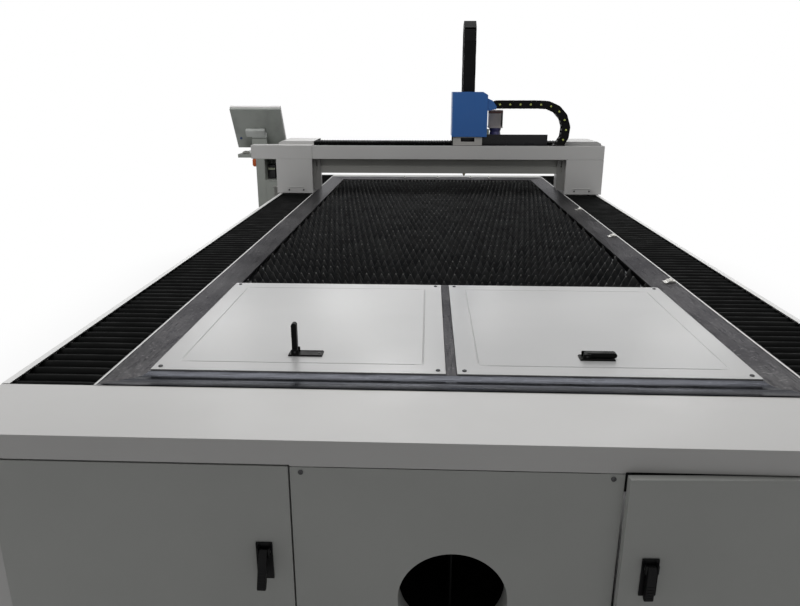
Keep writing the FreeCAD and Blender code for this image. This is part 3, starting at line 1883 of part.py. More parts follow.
def head_cover():
    """The folded sheet-metal cover, open below and behind, with the chain's shelf and its gusset."""
    wall = size("sheet_wall")
    play = size("seam_play")
    x0 = size("head_at") - size("head_cover_width") / 2
    x1 = size("head_at") + size("head_cover_width") / 2
    y0 = size("gantry_y")
    depth = size("head_cover_depth")
    low = size("deck_height") + size("head_cover_low")
    top = low + size("head_cover_height")

    def section(inset, drop):
        corner = x1 - inset - size("chamfer_run")
        return [
            point(x0 + inset, y0, low - drop),
            point(x1 - inset, y0, low - drop),
            point(x1 - inset, y0, top - inset - size("cover_chamfer")),
            point(corner, y0, top - inset),
            point(x0 + inset, y0, top - inset),
        ]

    inside = prism(section(wall, play), point(0, depth, 0))
    inside.translate(point(0, wall, 0))
    shell = prism(section(0, 0), point(0, depth, 0)).cut(inside)
    notch_y = size("cap_y") - size("shelf_front")
    notch = frame_shape(
        (x0 - play, x1 + play),
        (notch_y, notch_y + size("notch_width")),
        (low - play, low + size("notch_height")),
    )
    front = y0 + size("shelf_front")
    shelf_top = size("beam_top") + size("sheet_wall") + size("tray_wall") + 2 * size("chain_radius")
    shelf_low = shelf_top - size("chain_shelf_wall")
    shelf = frame_shape(
        (x1, x1 + size("chain_shelf_reach")),
        (front, front + size("chain_shelf_depth")),
        (shelf_low, shelf_top),
    )
    gusset = prism(
        [
            point(x1, front, shelf_low),
            point(x1 + size("gusset_reach"), front, shelf_low),
            point(x1 + size("gusset_reach"), front, shelf_top + size("gusset_low")),
            point(x1, front, shelf_top + size("gusset_high")),
        ],
        point(0, size("gusset_wall"), 0),
    )
    seat = frame_shape(
        (x0 + wall, x1 - wall),
        (y0 + size("seat_at"), y0 + size("seat_at") + size("plate_wall")),
        (size("saddle_z") + size("saddle_wall"), top - size("seat_drop")),
    )
    return shell.cut(notch).fuse(gusset).fuse(shelf).fuse(seat).removeSplitter()


keep(coded("head_cover_fold", head_cover()), "head_cover")

x_motor_box = block(
    "x_motor_box",
    ("x_motor_at - x_motor_side / 2", "x_motor_at + x_motor_side / 2"),
    (
        "gantry_y + drive_at + motor_shift - x_motor_side / 2",
        "gantry_y + drive_at + motor_shift + x_motor_side / 2",
    ),
    ("deck_height + x_motor_low", "deck_height + x_motor_low + x_motor_height"),
)
x_gear_low = size("deck_height") + size("x_motor_low") - size("x_gear_height")
x_gear_case = coded(
    "x_gear_case",
    faceted(
        TURNED_SIDES,
        [(size("gear_foot"), x_gear_low), (size("gear_neck"), x_gear_low + size("x_gear_height"))],
        size("x_motor_at"),
        size("gantry_y") + size("drive_at"),
    ),
)
keep(join("x_drive", [x_motor_box, x_gear_case]), "x_motor")


def x_pinion():
    low = size("beam_top") + size("x_pinion_lift")
    x = size("x_motor_at")
    y = size("gantry_y") + size("drive_at")
    gear = pinion(
        size("x_pinion_radius"),
        int(size("pinion_teeth")),
        size("x_tooth_depth"),
        low,
        low + size("x_pinion_height"),
        x,
        y,
    )
    radius = size("x_shaft_radius")
    return gear.fuse(faceted(SHAFT_SIDES, [(radius, low), (radius, x_gear_low)], x, y))


keep(coded("x_pinion_gear", x_pinion()), "x_pinion")

# ------------------------------------------------------------------ drag chains


def between(near, far):
    """A solid with flat sides between two rings of four corners."""
    faces = [facet(near), facet(far)]
    for i in range(4):
        j = (i + 1) % 4
        faces.append(facet([near[i], near[j], far[j], far[i]]))
    solid = Part.Solid(Part.Shell(faces))
    if solid.Volume < 0:
        solid.reverse()
    return solid


def chain_ring(centre, up, across, height, width):
    """The corners of a chain's section."""
    return [
        centre + up * (up_sign * height / 2) + across * (side_sign * width / 2)
        for up_sign, side_sign in ((1, 1), (1, -1), (-1, -1), (-1, 1))
    ]


def chain(origin, along, up, across, upper, lower, radius, pitch, height, width, wall):
    """Links laid end to end on a U-shaped path: out, round the bend and back underneath.

    A link is a rectangular tube, or a closed block where no wall is given, and every other
    one is slimmer. Neighbours meet on the plane of the pin between them.
    """
    total = upper + math.pi * radius + lower
    count = int(total / pitch)

    def place(distance):
        angle = min(max((distance - upper) / radius, 0), math.pi)
        run = min(distance, upper) + radius * math.sin(angle)
        run -= max(distance - upper - math.pi * radius, 0)
        centre = origin + along * run + up * (radius * math.cos(angle) - radius)
        return centre, up * math.cos(angle) + along * math.sin(angle)

    links = []
    for i in range(count):
        ends = [place(total * step / count) for step in (i, i + 1)]
        slim = width - (size("link_step") if i % 2 else 0)
        rings = [chain_ring(centre, outward, across, height, slim) for centre, outward in ends]
        solid = between(*rings)
        if wall:
            inside = [
                chain_ring(centre, outward, across, height - 2 * wall, slim - 2 * wall)
                for centre, outward in ends
            ]
            solid = solid.cut(between(*inside))
        links.append(solid)
    return Part.makeCompound(links)


def x_chain():
    y = size("gantry_y") + size("chain_setback") + size("chain_width") / 2
    z = size("beam_top") + size("sheet_wall") + size("tray_wall") + size("chain_height") / 2
    origin = point(size("chain_start"), y, z + 2 * size("chain_radius"))
    return chain(
        origin,
        point(1, 0, 0),
        point(0, 0, 1),
        point(0, 1, 0),
        size("chain_bend_at") - size("chain_start"),
        size("chain_bend_at") - size("chain_end"),
        size("chain_radius"),
        size("chain_pitch"),
        size("chain_height"),
        size("chain_width"),
        size("chain_wall"),
    )


keep(coded("x_chain_links", x_chain()), "x_drag_chain")


def tower_chain():
    base = size("cover_base")
    near_y = size("gantry_y") + size("tower_at")
    rise = size("deck_height") + size("tower_top") - size("tower_depth") / 2 - size("tower_radius") - base
    drop = rise + base - size("slide_top")
    return chain(
        point(size("head_at") - size("tower_shift"), near_y, base),
        point(0, 0, 1),
        point(0, -1, 0),
        point(1, 0, 0),
        rise,
        drop,
        size("tower_radius"),
        size("tower_pitch"),
        size("tower_depth"),
        size("tower_width"),
        0,
    )


keep(coded("tower_links", tower_chain()), "tower_chain")


def y_chain():
    """The cable chain beside the bed, in its tray on the left."""
    height = size("side_chain_height")
    z = size("side_chain_floor") + height / 2
    bend = (size("side_chain_end") + size("side_chain_fixed") - size("side_chain_straight")) / 2
    return chain(
        point(
            -size("side_x") - size("side_chain_at"),
            size("side_chain_end"),
            z + 2 * size("side_chain_radius"),
        ),
        point(0, -1, 0),
        point(0, 0, 1),
        point(1, 0, 0),
        size("side_chain_end") - bend,
        size("side_chain_fixed") - bend,
        size("side_chain_radius"),
        size("side_chain_pitch"),
        height,
        size("side_chain_width"),
        0,
    )


keep(coded("y_chain_links", y_chain()), "y_drag_chain")

# ------------------------------------------------------------------ Z axis and cutting head


def screw_line():
    """The distance of the screw's axis along Y."""
    return size("z_plate_y") + size("z_plate_wall") + size("screw_out")


z_plate_top = size("deck_height") + size("z_plate_low") + size("z_plate_height")


def z_drive():
    x = size("head_at")
    half = size("z_motor_half")
    return frame_shape(
        (x - half, x + half),
        (screw_line() - size("screw_out"), screw_line() + size("z_motor_back")),
        (z_plate_top - size("z_motor_low"), z_plate_top + size("z_motor_rise")),
    )


keep(coded("z_motor_box", z_drive()), "z_motor")


def z_screw():
    top = z_plate_top - size("z_motor_low")
    low = top - size("z_plate_height") + size("screw_stop")
    return faceted(
        TURNED_SIDES,
        [(size("screw_radius"), low), (size("screw_radius"), top)],
        size("head_at"),
        screw_line(),
    )


keep(coded("z_screw_bar", z_screw()), "z_screw")


def z_slide():
    """Plate with guide pads, the screw's nut and the chain's bracket."""
    x = size("head_at")
    y = size("z_plate_y") + size("z_plate_wall")
    low = size("deck_height") + size("slide_low")
    top = size("slide_top")
    wall = size("z_plate_wall")
    half = size("z_plate_width") / 2
    out = size("slide_out")
    play = size("seam_play")
    groove = size("x_rail_width") / 2 + size("slide_gap")
    pad_half = size("pad_half")
    length = size("pad_length")
    plate = frame_shape((x - half, x + half), (y + out, y + out + wall), (low, top))
    for side in (-1, 1):
        middle = x + side * size("guide_at")
        for start in (low + size("pad_inset"), top - size("pad_inset") - length):
            pad = frame_shape(
                (middle - pad_half, middle + pad_half),
                (y + size("sheet_wall"), y + out),
                (start, start + length),
            )
            slot = frame_shape(
                (middle - groove, middle + groove),
                (y, y + wall + size("slide_gap")),
                (start - play, start + length + play),
            )
            plate = plate.fuse(pad.cut(slot))
    nut_half = size("nut_half")
    nut = frame_shape(
        (x - nut_half, x + nut_half),
        (y + size("block_gap"), y + out),
        (top - size("nut_low"), top - size("nut_high")),
    )
    radius = size("screw_radius") + size("screw_gap")
    bore = faceted(TURNED_SIDES, [(radius, low), (radius, top)], x, screw_line())
    plate = plate.fuse(nut.cut(bore))
    far_leg = size("gantry_y") + size("tower_at") + 2 * size("tower_radius")
    chain_x = x - size("tower_shift")
    arm = frame_shape(
        (chain_x - size("tower_width") / 2, chain_x + size("tower_width") / 2),
        (y + out + wall, far_leg + size("tower_depth") / 2),
        (top - wall, top),
    )
    return plate.fuse(arm).removeSplitter()


keep(coded("z_slide_plate", z_slide()), "z_slide")


def head_line():
    """The distance of the head's axis along Y."""
    return size("z_plate_y") + 2 * size("z_plate_wall") + size("slide_out") + size("head_width") / 2


def laser_head():
    """The cutting head: collimator on top, focusing block, and the neck that takes the nozzle."""
    x = size("head_at")
    y = head_line()
    half = size("head_width") / 2
    low = size("deck_height") + size("nozzle_tip") + size("nozzle_length")
    case_low = low + size("neck_height")
    case_top = case_low + size("head_height")
    radius = size("collimator_radius")
    case = frame_shape((x - half, x + half), (y - half, y + half), (case_low, case_top))
    top = faceted(TURNED_SIDES, [(radius, case_top), (radius, case_top + size("collimator_height"))], x, y)
    neck = faceted(TURNED_SIDES, [(size("neck_radius"), low), (size("neck_shoulder"), case_low)], x, y)
    return case.fuse(top).fuse(neck)


keep(coded("laser_head_body", laser_head()), "laser_head")


def nozzle():
    """A turned nozzle with its ceramic collar, bored through."""
    x = size("head_at")
    y = head_line()
    tip = size("deck_height") + size("nozzle_tip")
    top = tip + size("nozzle_length")
    play = size("seam_play")
    rings = [
        (size("nozzle_lip"), tip),
        (size("nozzle_radius"), tip + size("nozzle_cone")),
        (size("nozzle_radius"), tip + size("nozzle_shoulder")),
        (size("ceramic_radius"), tip + size("ceramic_low")),
        (size("ceramic_radius"), top),
    ]
    bore = faceted(6, [(size("nozzle_bore"), tip - play), (size("nozzle_bore"), top + play)], x, y)
    return faceted(TURNED_SIDES, rings, x, y).cut(bore)


keep(coded("nozzle_turned", nozzle()), "nozzle")

# ------------------------------------------------------------------ console


STOP_STEM = size("button_radius") * 0.45
CAP_TAPER = 0.9


def stop_place():
    return -size("console_inner") - size("stop_inset"), size("desk_back") - size("stop_setback")


def console():
    """The column beside the bed with its open bay and lower panel, and the desk with its post."""
    outer = -size("console_outer")
    inner = -size("console_inner")
    front = size("console_front")
    back = front + size("console_depth")
    top = size("console_height")
    play = size("seam_play")
    bay_top = top - size("bay_roof")
    bay_low = bay_top - size("bay_height")
    panel_low = size("panel_low")
    body = frame_shape((outer, inner), (front, back), (0, top))
    bay = frame_shape(
        (outer + size("bay_left"), inner - size("bay_right")),
        (front - play, front + size("bay_depth")),
        (bay_low, bay_top),
    )
    panel = frame_shape(
        (outer + size("bay_left") + size("sheet_wall"), inner - size("flange_width")),
        (front - play, front + size("sheet_wall")),
        (panel_low, bay_low - size("bay_sill")),
    )
    body = body.cut(bay).cut(panel)
    stay = frame_shape(
        (inner, -size("side_x")),
        (front + size("stay_at"), front + size("stay_at") + size("tube_side")),
        (panel_low, panel_low + size("stay_height")),
    )
    foot_out = size("console_foot_out")
    foot = frame_shape(
        (outer - foot_out, inner + size("console_foot_in")),
        (front + foot_out, back - foot_out),
        (0, size("foot_thick")),
    )
    desk_top = top + size("desk_thick")
    desk = frame_shape((-size("desk_outer"), inner), (size("desk_front"), size("desk_back")), (top, desk_top))
    post = frame_shape(
        (-size("monitor_at") - size("barrel_half"), -size("monitor_at") + size("barrel_half")),
        (size("monitor_along") - size("barrel_radius"), size("monitor_along") + size("plate_wall")),
        (desk_top, size("monitor_pivot") - size("barrel_radius")),
    )
    x, y = stop_place()
    hole_radius = STOP_STEM + size("side_gap")
    hole = faceted(ROUND_SIDES, [(hole_radius, top - play), (hole_radius, desk_top + play)], x, y)
    return body.fuse(stay).fuse(foot).removeSplitter(), desk.fuse(post).removeSplitter().cut(hole)


column_shape, desk_shape = console()
keep(coded("console_body", column_shape), "console_column")
keep(coded("desk_and_post", desk_shape), "console_desk")


def monitor():
    """The tilting monitor with the swivel box on its back."""
    x = -size("monitor_at")
    y = size("monitor_along")
    z = size("monitor_pivot")
    half = size("monitor_width") / 2
    radius = size("barrel_radius")
    near = y + size("monitor_out")
    far = near + size("monitor_thick")
    low = z - size("monitor_low")
    top = low + size("monitor_height")
    case = frame_shape((x - half, x + half), (near, far), (low, top))
    bezel = size("bezel")
    depth = size("screen_depth")
    screen = frame_shape(
        (x - half + bezel, x + half - bezel),
        (far - depth, far + depth),
        (low + bezel, top - bezel),
    )
    box = frame_shape(
        (x - size("back_box_left"), x + size("back_box_right")),
        (y - radius, near),
        (z, z + size("back_box_height")),
    )
    barrel = faceted(TURNED_SIDES, [(radius, -size("barrel_half")), (radius, size("barrel_half"))], 0, 0)
    barrel.rotate(point(0, 0, 0), point(0, 1, 0), 90)
    barrel.translate(point(x, y, z))
    solid = case.cut(screen).fuse(box).fuse(barrel)
    solid.rotate(point(x, y, z), point(1, 0, 0), size("monitor_tilt"))
    return solid.removeSplitter()


keep(coded("monitor_case", monitor()), "monitor")

desk_top = "console_height + desk_thick"
keys = block(
    "keyboard_case",
    ("-monitor_at - keyboard_left", "-monitor_at - keyboard_left + keyboard_width"),
    ("desk_back - keyboard_setback - keyboard_depth", "desk_back - keyboard_setback"),
    (desk_top, f"{desk_top} + keyboard_height"),
)
mouse = block(
    "mouse_case",
    ("-desk_outer + mouse_inset", "-desk_outer + mouse_inset + mouse_width"),
    ("desk_front + mouse_setback", "desk_front + mouse_setback + mouse_length"),
    (desk_top, f"{desk_top} + mouse_height"),
)
keep(group("keyboard_and_mouse", [keys, mouse]), "keyboard_and_mouse")

remote = block(
    "remote_case",
    ("-console_outer - remote_gap - remote_width", "-console_outer - remote_gap"),
    ("desk_front + remote_setback", "desk_front + remote_setback + remote_depth"),
    ("console_height - hook_drop - remote_height", "console_height - hook_drop"),
)
remote_hook = block(
    "remote_hook",
    ("-console_outer - remote_gap - 2 * hook_side", "-console_outer - remote_gap - hook_side"),
    ("desk_front + hook_at", "desk_front + hook_at + hook_side"),
    ("console_height - hook_drop", "console_height"),
)
keep(join("remote_on_hook", [remote, remote_hook]), "hand_remote")


def stop_button():
    """A mushroom button whose stem runs down through the desk's right end."""
    x, y = stop_place()
    z = size("console_height") + size("desk_thick")
    radius = size("button_radius")
    rings = [
        (STOP_STEM, z - size("stem_drop")),
        (STOP_STEM, z + size("cap_low")),
        (radius, z + size("cap_edge")),
        (radius * CAP_TAPER, z + size("cap_high")),
    ]
    return faceted(ROUND_SIDES, rings, x, y)


keep(coded("stop_button", stop_button()), "emergency_stop")

# ------------------------------------------------------------------ checks and files

doc.recompute()
for thing in doc.Objects:
    if "Invalid" in thing.State or "Error" in thing.State:
        raise SystemExit(f"{thing.Name} did not build: {thing.State}")
for thing in SUBPARTS:
    if thing.Shape.isNull() or not thing.Shape.isValid():
        raise SystemExit(f"{thing.Label} has no valid shape")
    if not thing.Shape.Solids:
        raise SystemExit(f"{thing.Label} has no solid")
for thing in SUBPARTS:
    thing.Shape.exportStep(f"parts/{thing.Label}.step")
print(len(SUBPARTS), "sub-parts")
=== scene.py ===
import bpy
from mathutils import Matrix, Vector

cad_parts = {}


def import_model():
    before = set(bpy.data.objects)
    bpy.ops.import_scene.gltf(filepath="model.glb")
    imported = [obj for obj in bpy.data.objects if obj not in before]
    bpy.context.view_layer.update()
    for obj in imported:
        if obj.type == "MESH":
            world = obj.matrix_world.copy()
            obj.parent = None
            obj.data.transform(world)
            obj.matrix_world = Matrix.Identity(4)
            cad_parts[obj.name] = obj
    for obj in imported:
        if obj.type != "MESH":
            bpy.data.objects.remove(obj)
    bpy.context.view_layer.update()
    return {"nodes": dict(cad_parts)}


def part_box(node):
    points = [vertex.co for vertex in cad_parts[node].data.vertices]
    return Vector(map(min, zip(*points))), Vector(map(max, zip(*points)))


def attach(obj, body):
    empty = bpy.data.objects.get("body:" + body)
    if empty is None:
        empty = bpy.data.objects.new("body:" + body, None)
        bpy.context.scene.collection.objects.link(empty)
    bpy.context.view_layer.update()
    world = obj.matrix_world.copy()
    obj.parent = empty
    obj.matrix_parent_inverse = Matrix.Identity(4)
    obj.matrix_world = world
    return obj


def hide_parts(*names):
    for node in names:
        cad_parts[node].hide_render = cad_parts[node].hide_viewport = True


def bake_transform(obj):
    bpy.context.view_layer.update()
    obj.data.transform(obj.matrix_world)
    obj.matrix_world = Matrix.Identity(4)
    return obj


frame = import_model()

import math
import random

import bmesh
import bpy
from mathutils import Matrix, Vector

# ---------------------------------------------------------------- looks


class Nodes:
    """A material's or world's node tree, built node by node."""

    def __init__(self, owner):
        owner.use_nodes = True
        self.tree = owner.node_tree
        self.tree.nodes.clear()

    def link(self, a, b):
        self.tree.links.new(a, b)

    def put(self, node, socket, value):
        """Sets an input, or links it where the value is another node's output."""
        target = node.inputs[socket]
        if isinstance(value, bpy.types.NodeSocket):
            self.link(value, target)
        else:
            target.default_value = (*value, 1) if target.type == "RGBA" else value

    def node(self, kind, settings=None, **sockets):
        made = self.tree.nodes.new(kind)
        for key, value in (settings or {}).items():
            setattr(made, key, value)
        for socket, value in sockets.items():
            self.put(made, socket.replace("_", " "), value)
        return made

    def math(self, what, a, b=0.0):
        made = self.node("ShaderNodeMath", {"operation": what})
        self.put(made, 0, a)
        self.put(made, 1, b)
        return made.outputs[0]

    def times(self, a, b):
        return self.math("MULTIPLY", a, b)

    def either(self, share, shader, other):
        """One shader going over into another by a share."""
        made = self.node("ShaderNodeMixShader")
        for socket, source in enumerate((share, shader, other)):
            self.link(source, made.inputs[socket])
        return made.outputs[0]

    def seen_directly(self):
        """1 for what the camera sees, mirrors or sees through glass, else 0."""
        rays = self.node("ShaderNodeLightPath").outputs
        mirrored = self.math("MAXIMUM", rays["Is Camera Ray"], rays["Is Glossy Ray"])
        return self.math("MAXIMUM", mirrored, rays["Is Transmission Ray"])


class Look(Nodes):
    """A procedural material round one shader."""

    def __init__(self, name, **sockets):
        self.material = bpy.data.materials.new(name)
        super().__init__(self.material)
        self.out = self.node("ShaderNodeOutputMaterial")
        self.shader = self.node("ShaderNodeBsdfPrincipled", **sockets)
        self.link(self.shader.outputs[0], self.out.inputs["Surface"])
        self.coords = self.node("ShaderNodeTexCoord").outputs["Object"]
        self.last_bump = None

    def noise(self, scale, detail, rough=0.5, stretch=None):
        """Noise, drawn closer along an axis where the stretch is larger."""
        place = self.coords
        if stretch:
            place = self.node("ShaderNodeMapping", Vector=place, Scale=stretch).outputs[0]
        made = self.node("ShaderNodeTexNoise", Vector=place, Scale=scale, Detail=detail, Roughness=rough)
        return made.outputs[0]

    def ramp(self, value, low, high, out_low=0.0, out_high=1.0):
        """A smooth step of a value from one range to another."""
        ends = {"From_Min": low, "From_Max": high, "To_Min": out_low, "To_Max": out_high}
        kind = {"interpolation_type": "SMOOTHSTEP"}
        return self.node("ShaderNodeMapRange", kind, Value=value, **ends).outputs[0]

    def mix(self, share, a, b):
        """One colour going over into another; a colour mix has them on its inputs 6 and 7."""
        made = self.node("ShaderNodeMix", {"data_type": "RGBA"})
        for socket, value in ((0, share), (6, a), (7, b)):
            self.put(made, socket, value)
        return made.outputs[2]

    def axes(self):
        """The place on x, y and z, as three values."""
        return self.node("ShaderNodeSeparateXYZ", Vector=self.coords).outputs

    def colour(self, value):
        self.put(self.shader, "Base Color", value)

    def rough(self, value):
        self.put(self.shader, "Roughness", value)

    def bump(self, value, distance, strength):
        made = self.node("ShaderNodeBump", Height=value, Distance=distance, Strength=strength)
        if self.last_bump:
            self.link(self.last_bump, made.inputs["Normal"])
        self.last_bump = made.outputs[0]
        self.link(self.last_bump, self.shader.inputs["Normal"])


def darker(colour, share):
    return tuple(channel * share for channel in colour)


def paint(name, colour, rough, cloud, coat=0.0, gloss=0.5):
    """Sprayed paint: clouds of slightly darker tone, faint specks of dust and a fine orange peel."""
    look = Look(name, Coat_Weight=coat, Coat_Roughness=0.16, Specular_IOR_Level=gloss)
    base = look.mix(look.ramp(look.noise(1.7, 4), 0.35, 0.7), colour, darker(colour, cloud))
    speck = look.ramp(look.noise(240, 2), 0.68, 0.78)
    look.colour(look.mix(look.times(speck, 0.12), base, darker(colour, 0.72)))
    look.rough(look.ramp(look.noise(6, 5, 0.6), 0.3, 0.7, rough - 0.05, rough + 0.06))
    look.bump(look.noise(650, 2), 0.00006, 0.35)
    return look.material


def steel(name, colour, rough, stretch, tone, metallic=1.0, scratch=0.35, edge=1.0):
    """Rolled or ground steel with a grain along one axis, stains and fine scratches."""
    look = Look(name, Metallic=metallic, Specular_Tint=(edge, edge, edge))
    grain = look.noise(14, 6, 0.65, stretch)
    stain = look.ramp(look.noise(2.6, 5, 0.62), 0.36, 0.68)
    marks = look.ramp(look.noise(9, 3, 0.55, (11, 26, 11)), 0.60, 0.70)
    base = look.mix(look.ramp(grain, 0.3, 0.7), darker(colour, tone), colour)
    base = look.mix(look.times(stain, 0.5), base, darker(colour, 0.62))
    look.colour(look.mix(look.times(marks, scratch), base, darker(colour, 1.5)))
    look.rough(look.ramp(grain, 0.25, 0.75, rough - 0.09, rough + 0.12))
    look.bump(look.noise(60, 3, 0.6, stretch), 0.00012, 0.35)
    return look.material


def plastic(name, colour, rough, gloss=0.5):
    """Moulded plastic: soft clouds of tone and a fine grain."""
    look = Look(name, Specular_IOR_Level=gloss)
    look.colour(look.mix(look.ramp(look.noise(7, 3), 0.35, 0.7), colour, darker(colour, 0.8)))
    look.rough(look.ramp(look.noise(40, 3), 0.3, 0.7, rough - 0.06, rough + 0.08))
    look.bump(look.noise(900, 2), 0.00005, 0.4)
    return look.material


def coated_cloth(name, colour):
    """Black coated fabric: a weave under a dull coat, with dust lying on the folds."""
    look = Look(name, Specular_IOR_Level=0.02)
    kind, wave = "ShaderNodeTexWave", {"Vector": look.coords, "Scale": 420, "Distortion": 1.5}
    weave, cross = (look.node(kind, {"bands_direction": way}, **wave).outputs[1] for way in "XY")
    dust = look.ramp(look.noise(5, 6, 0.62), 0.48, 0.8)
    look.colour(look.mix(look.times(dust, 0.16), colour, (0.012, 0.013, 0.012)))
    look.rough(look.ramp(look.noise(12, 4), 0.3, 0.7, 0.42, 0.62))
    look.bump(look.times(weave, cross), 0.0001, 0.4)
    look.bump(look.noise(55, 3), 0.0008, 0.3)
    return look.material


def slat_look():
    """Dark rolled sheet, scorched along the teeth, with spatter and bright worn edges."""
    look = Look("slat_sheet", Metallic=0.35, Specular_IOR_Level=0.25)
    height = look.axes()[2]
    clouds, burns = look.ramp(look.noise(9, 6, 0.65), 0.3, 0.72), look.ramp(look.noise(30, 4), 0.4, 0.65)
    base = look.mix(clouds, (0.018, 0.019, 0.021), (0.045, 0.046, 0.047))
    scorch = look.mix(burns, (0.085, 0.085, 0.084), (0.035, 0.033, 0.031))
    base = look.mix(look.times(look.ramp(height, 0.815, 0.850), 0.8), base, scorch)
    worn = look.times(look.ramp(height, 0.842, 0.850), look.ramp(look.noise(7, 3), 0.45, 0.62))
    base = look.mix(look.times(worn, 0.7), base, (0.30, 0.30, 0.29))
    spatter = look.ramp(look.noise(420, 2), 0.68, 0.76)
    look.colour(look.mix(look.times(spatter, 0.5), base, (0.13, 0.125, 0.12)))
    look.rough(look.ramp(look.noise(24, 4), 0.3, 0.7, 0.45, 0.7))
    look.bump(look.noise(160, 4), 0.0007, 0.5)
    return look.material


def band_look():
    """The table's bands: brushed steel at the sides, dark rolled steel in front, a mitre weld between."""
    look = Look("band_steel", Metallic=1.0, Specular_Tint=(0.42, 0.42, 0.43))
    x, y = look.axes()[:2]
    out = look.math("DIVIDE", look.math("SUBTRACT", look.math("ABSOLUTE", x), BAND_INNER), BAND_WIDE)
    ahead = look.math("DIVIDE", look.math("SUBTRACT", COVER_START, y), BAND_DEEP)
    mitre = look.math("SUBTRACT", ahead, look.math("MAXIMUM", out, 0.0))
    side_grain, front_grain = (34, 1.1, 34), (1.1, 34, 34)
    along = look.noise(13, 7, 0.68, side_grain)
    across = look.noise(13, 7, 0.68, front_grain)
    stain = look.ramp(look.noise(2.3, 6, 0.66), 0.38, 0.66)
    brushed = look.mix(look.ramp(along, 0.32, 0.68), (0.055, 0.054, 0.056), (0.135, 0.133, 0.133))
    brushed = look.mix(look.times(stain, 0.7), brushed, (0.045, 0.044, 0.046))
    marks = look.ramp(look.noise(9, 3, 0.55, (11, 26, 11)), 0.60, 0.69)
    brushed = look.mix(look.times(marks, 0.6), brushed, (0.34, 0.33, 0.33))
    rolled = look.mix(look.ramp(across, 0.3, 0.7), (0.022, 0.024, 0.032), (0.062, 0.066, 0.082))
    base = look.mix(look.ramp(mitre, -0.01, 0.01), brushed, rolled)
    seam = look.ramp(look.math("ABSOLUTE", look.math("SUBTRACT", ahead, out)), 0.03, 0.09, 1.0, 0.0)
    seam = look.times(seam, look.ramp(ahead, -0.05, 0.0))
    weld = look.times(seam, look.ramp(look.noise(60, 4), 0.35, 0.6))
    look.colour(look.mix(weld, base, (0.34, 0.34, 0.34)))
    look.rough(look.ramp(along, 0.25, 0.75, 0.24, 0.48))
    look.bump(look.noise(60, 3, 0.6, side_grain), 0.00012, 0.35)
    look.bump(look.times(seam, look.noise(90, 3)), 0.0012, 0.7)
    return look.material


def cover_look():
    """White enamel with broad, faint clouds of tone and of gloss, and lighter smears of painted sheen."""
    look = Look("cover_enamel", Coat_Weight=0.35, Coat_Roughness=0.22, Specular_IOR_Level=0.3)
    tone = look.ramp(look.noise(1.3, 1), 0.30, 0.72)
    base = look.mix(tone, (0.465, 0.465, 0.462), (0.385, 0.385, 0.385))
    # lighter smears: painted sheen of soft reflections
    painted_sheen = look.ramp(look.noise(3.2, 1, 0.5, (0.6, 1.5, 1)), 0.42, 0.80)
    look.colour(look.mix(look.times(painted_sheen, 0.2), base, (0.50, 0.50, 0.495)))
    look.rough(look.ramp(look.noise(2.6, 2), 0.30, 0.70, 0.29, 0.42))
    look.bump(look.noise(600, 2), 0.00004, 0.3)
    return look.material


# the table's bands: the covers' front edge and outer side, the side bands' width, the front band's depth
COVER_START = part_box("cover_left")[0].y
BAND_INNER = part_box("cover_right")[1].x
BAND_WIDE = 0.101
BAND_DEEP = COVER_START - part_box("table_frame")[0].y

SHELL = paint("shell_paint", (0.56, 0.555, 0.545), 0.36, 0.95, coat=0.12, gloss=0.3)
FACE = paint("face_paint", (0.43, 0.437, 0.42), 0.5, 0.93, gloss=0.25)
COVER = cover_look()
CARRIER = paint("carriage_paint", (0.46, 0.45, 0.43), 0.42, 0.92, gloss=0.3)
MACHINE = paint("machine_paint", (0.33, 0.33, 0.31), 0.46, 0.86, gloss=0.3)
POST = paint("post_paint", (0.20, 0.198, 0.19), 0.46, 0.86, gloss=0.3)
# near-black that paints the shade inside the exhaust duct behind the centre panel's round hole
DUCT_SHADE = paint("duct_painted_shade", (0.006, 0.006, 0.006), 0.6, 0.8, gloss=0.05)
# near-white strips that paint the highlights on the lit edges along the ways
EDGE_HIGHLIGHT = paint("painted_edge_highlight", (0.80, 0.80, 0.79), 0.34, 0.92, gloss=0.4)
FRAME = paint("frame_paint", (0.16, 0.165, 0.17), 0.5, 0.85)
BLUE = paint("blue_paint", (0.028, 0.128, 0.40), 0.4, 0.93, coat=0.08, gloss=0.3)
CONSOLE = paint("console_paint", (0.31, 0.325, 0.30), 0.46, 0.93, gloss=0.3)
TRAY = paint("tray_enamel", (0.008, 0.008, 0.010), 0.3, 0.8, coat=0.06, gloss=0.2)
BAND = band_look()
FRONT_BAND = steel(
    "front_band_steel", (0.085, 0.088, 0.100), 0.20, (1.1, 60, 60), 0.25, scratch=0.4, edge=0.60
)
PLATED = steel("plated_steel", (0.55, 0.55, 0.52), 0.32, (30, 30, 30), 0.85)
GROUND = steel("ground_steel", (0.55, 0.56, 0.57), 0.2, (60, 2, 60), 0.85)
BRIGHT = steel("bright_screw", (0.62, 0.61, 0.58), 0.22, (40, 40, 40), 0.9)
BLACKENED = steel("blackened_steel", (0.045, 0.045, 0.047), 0.4, (40, 40, 40), 0.8, 0.7)
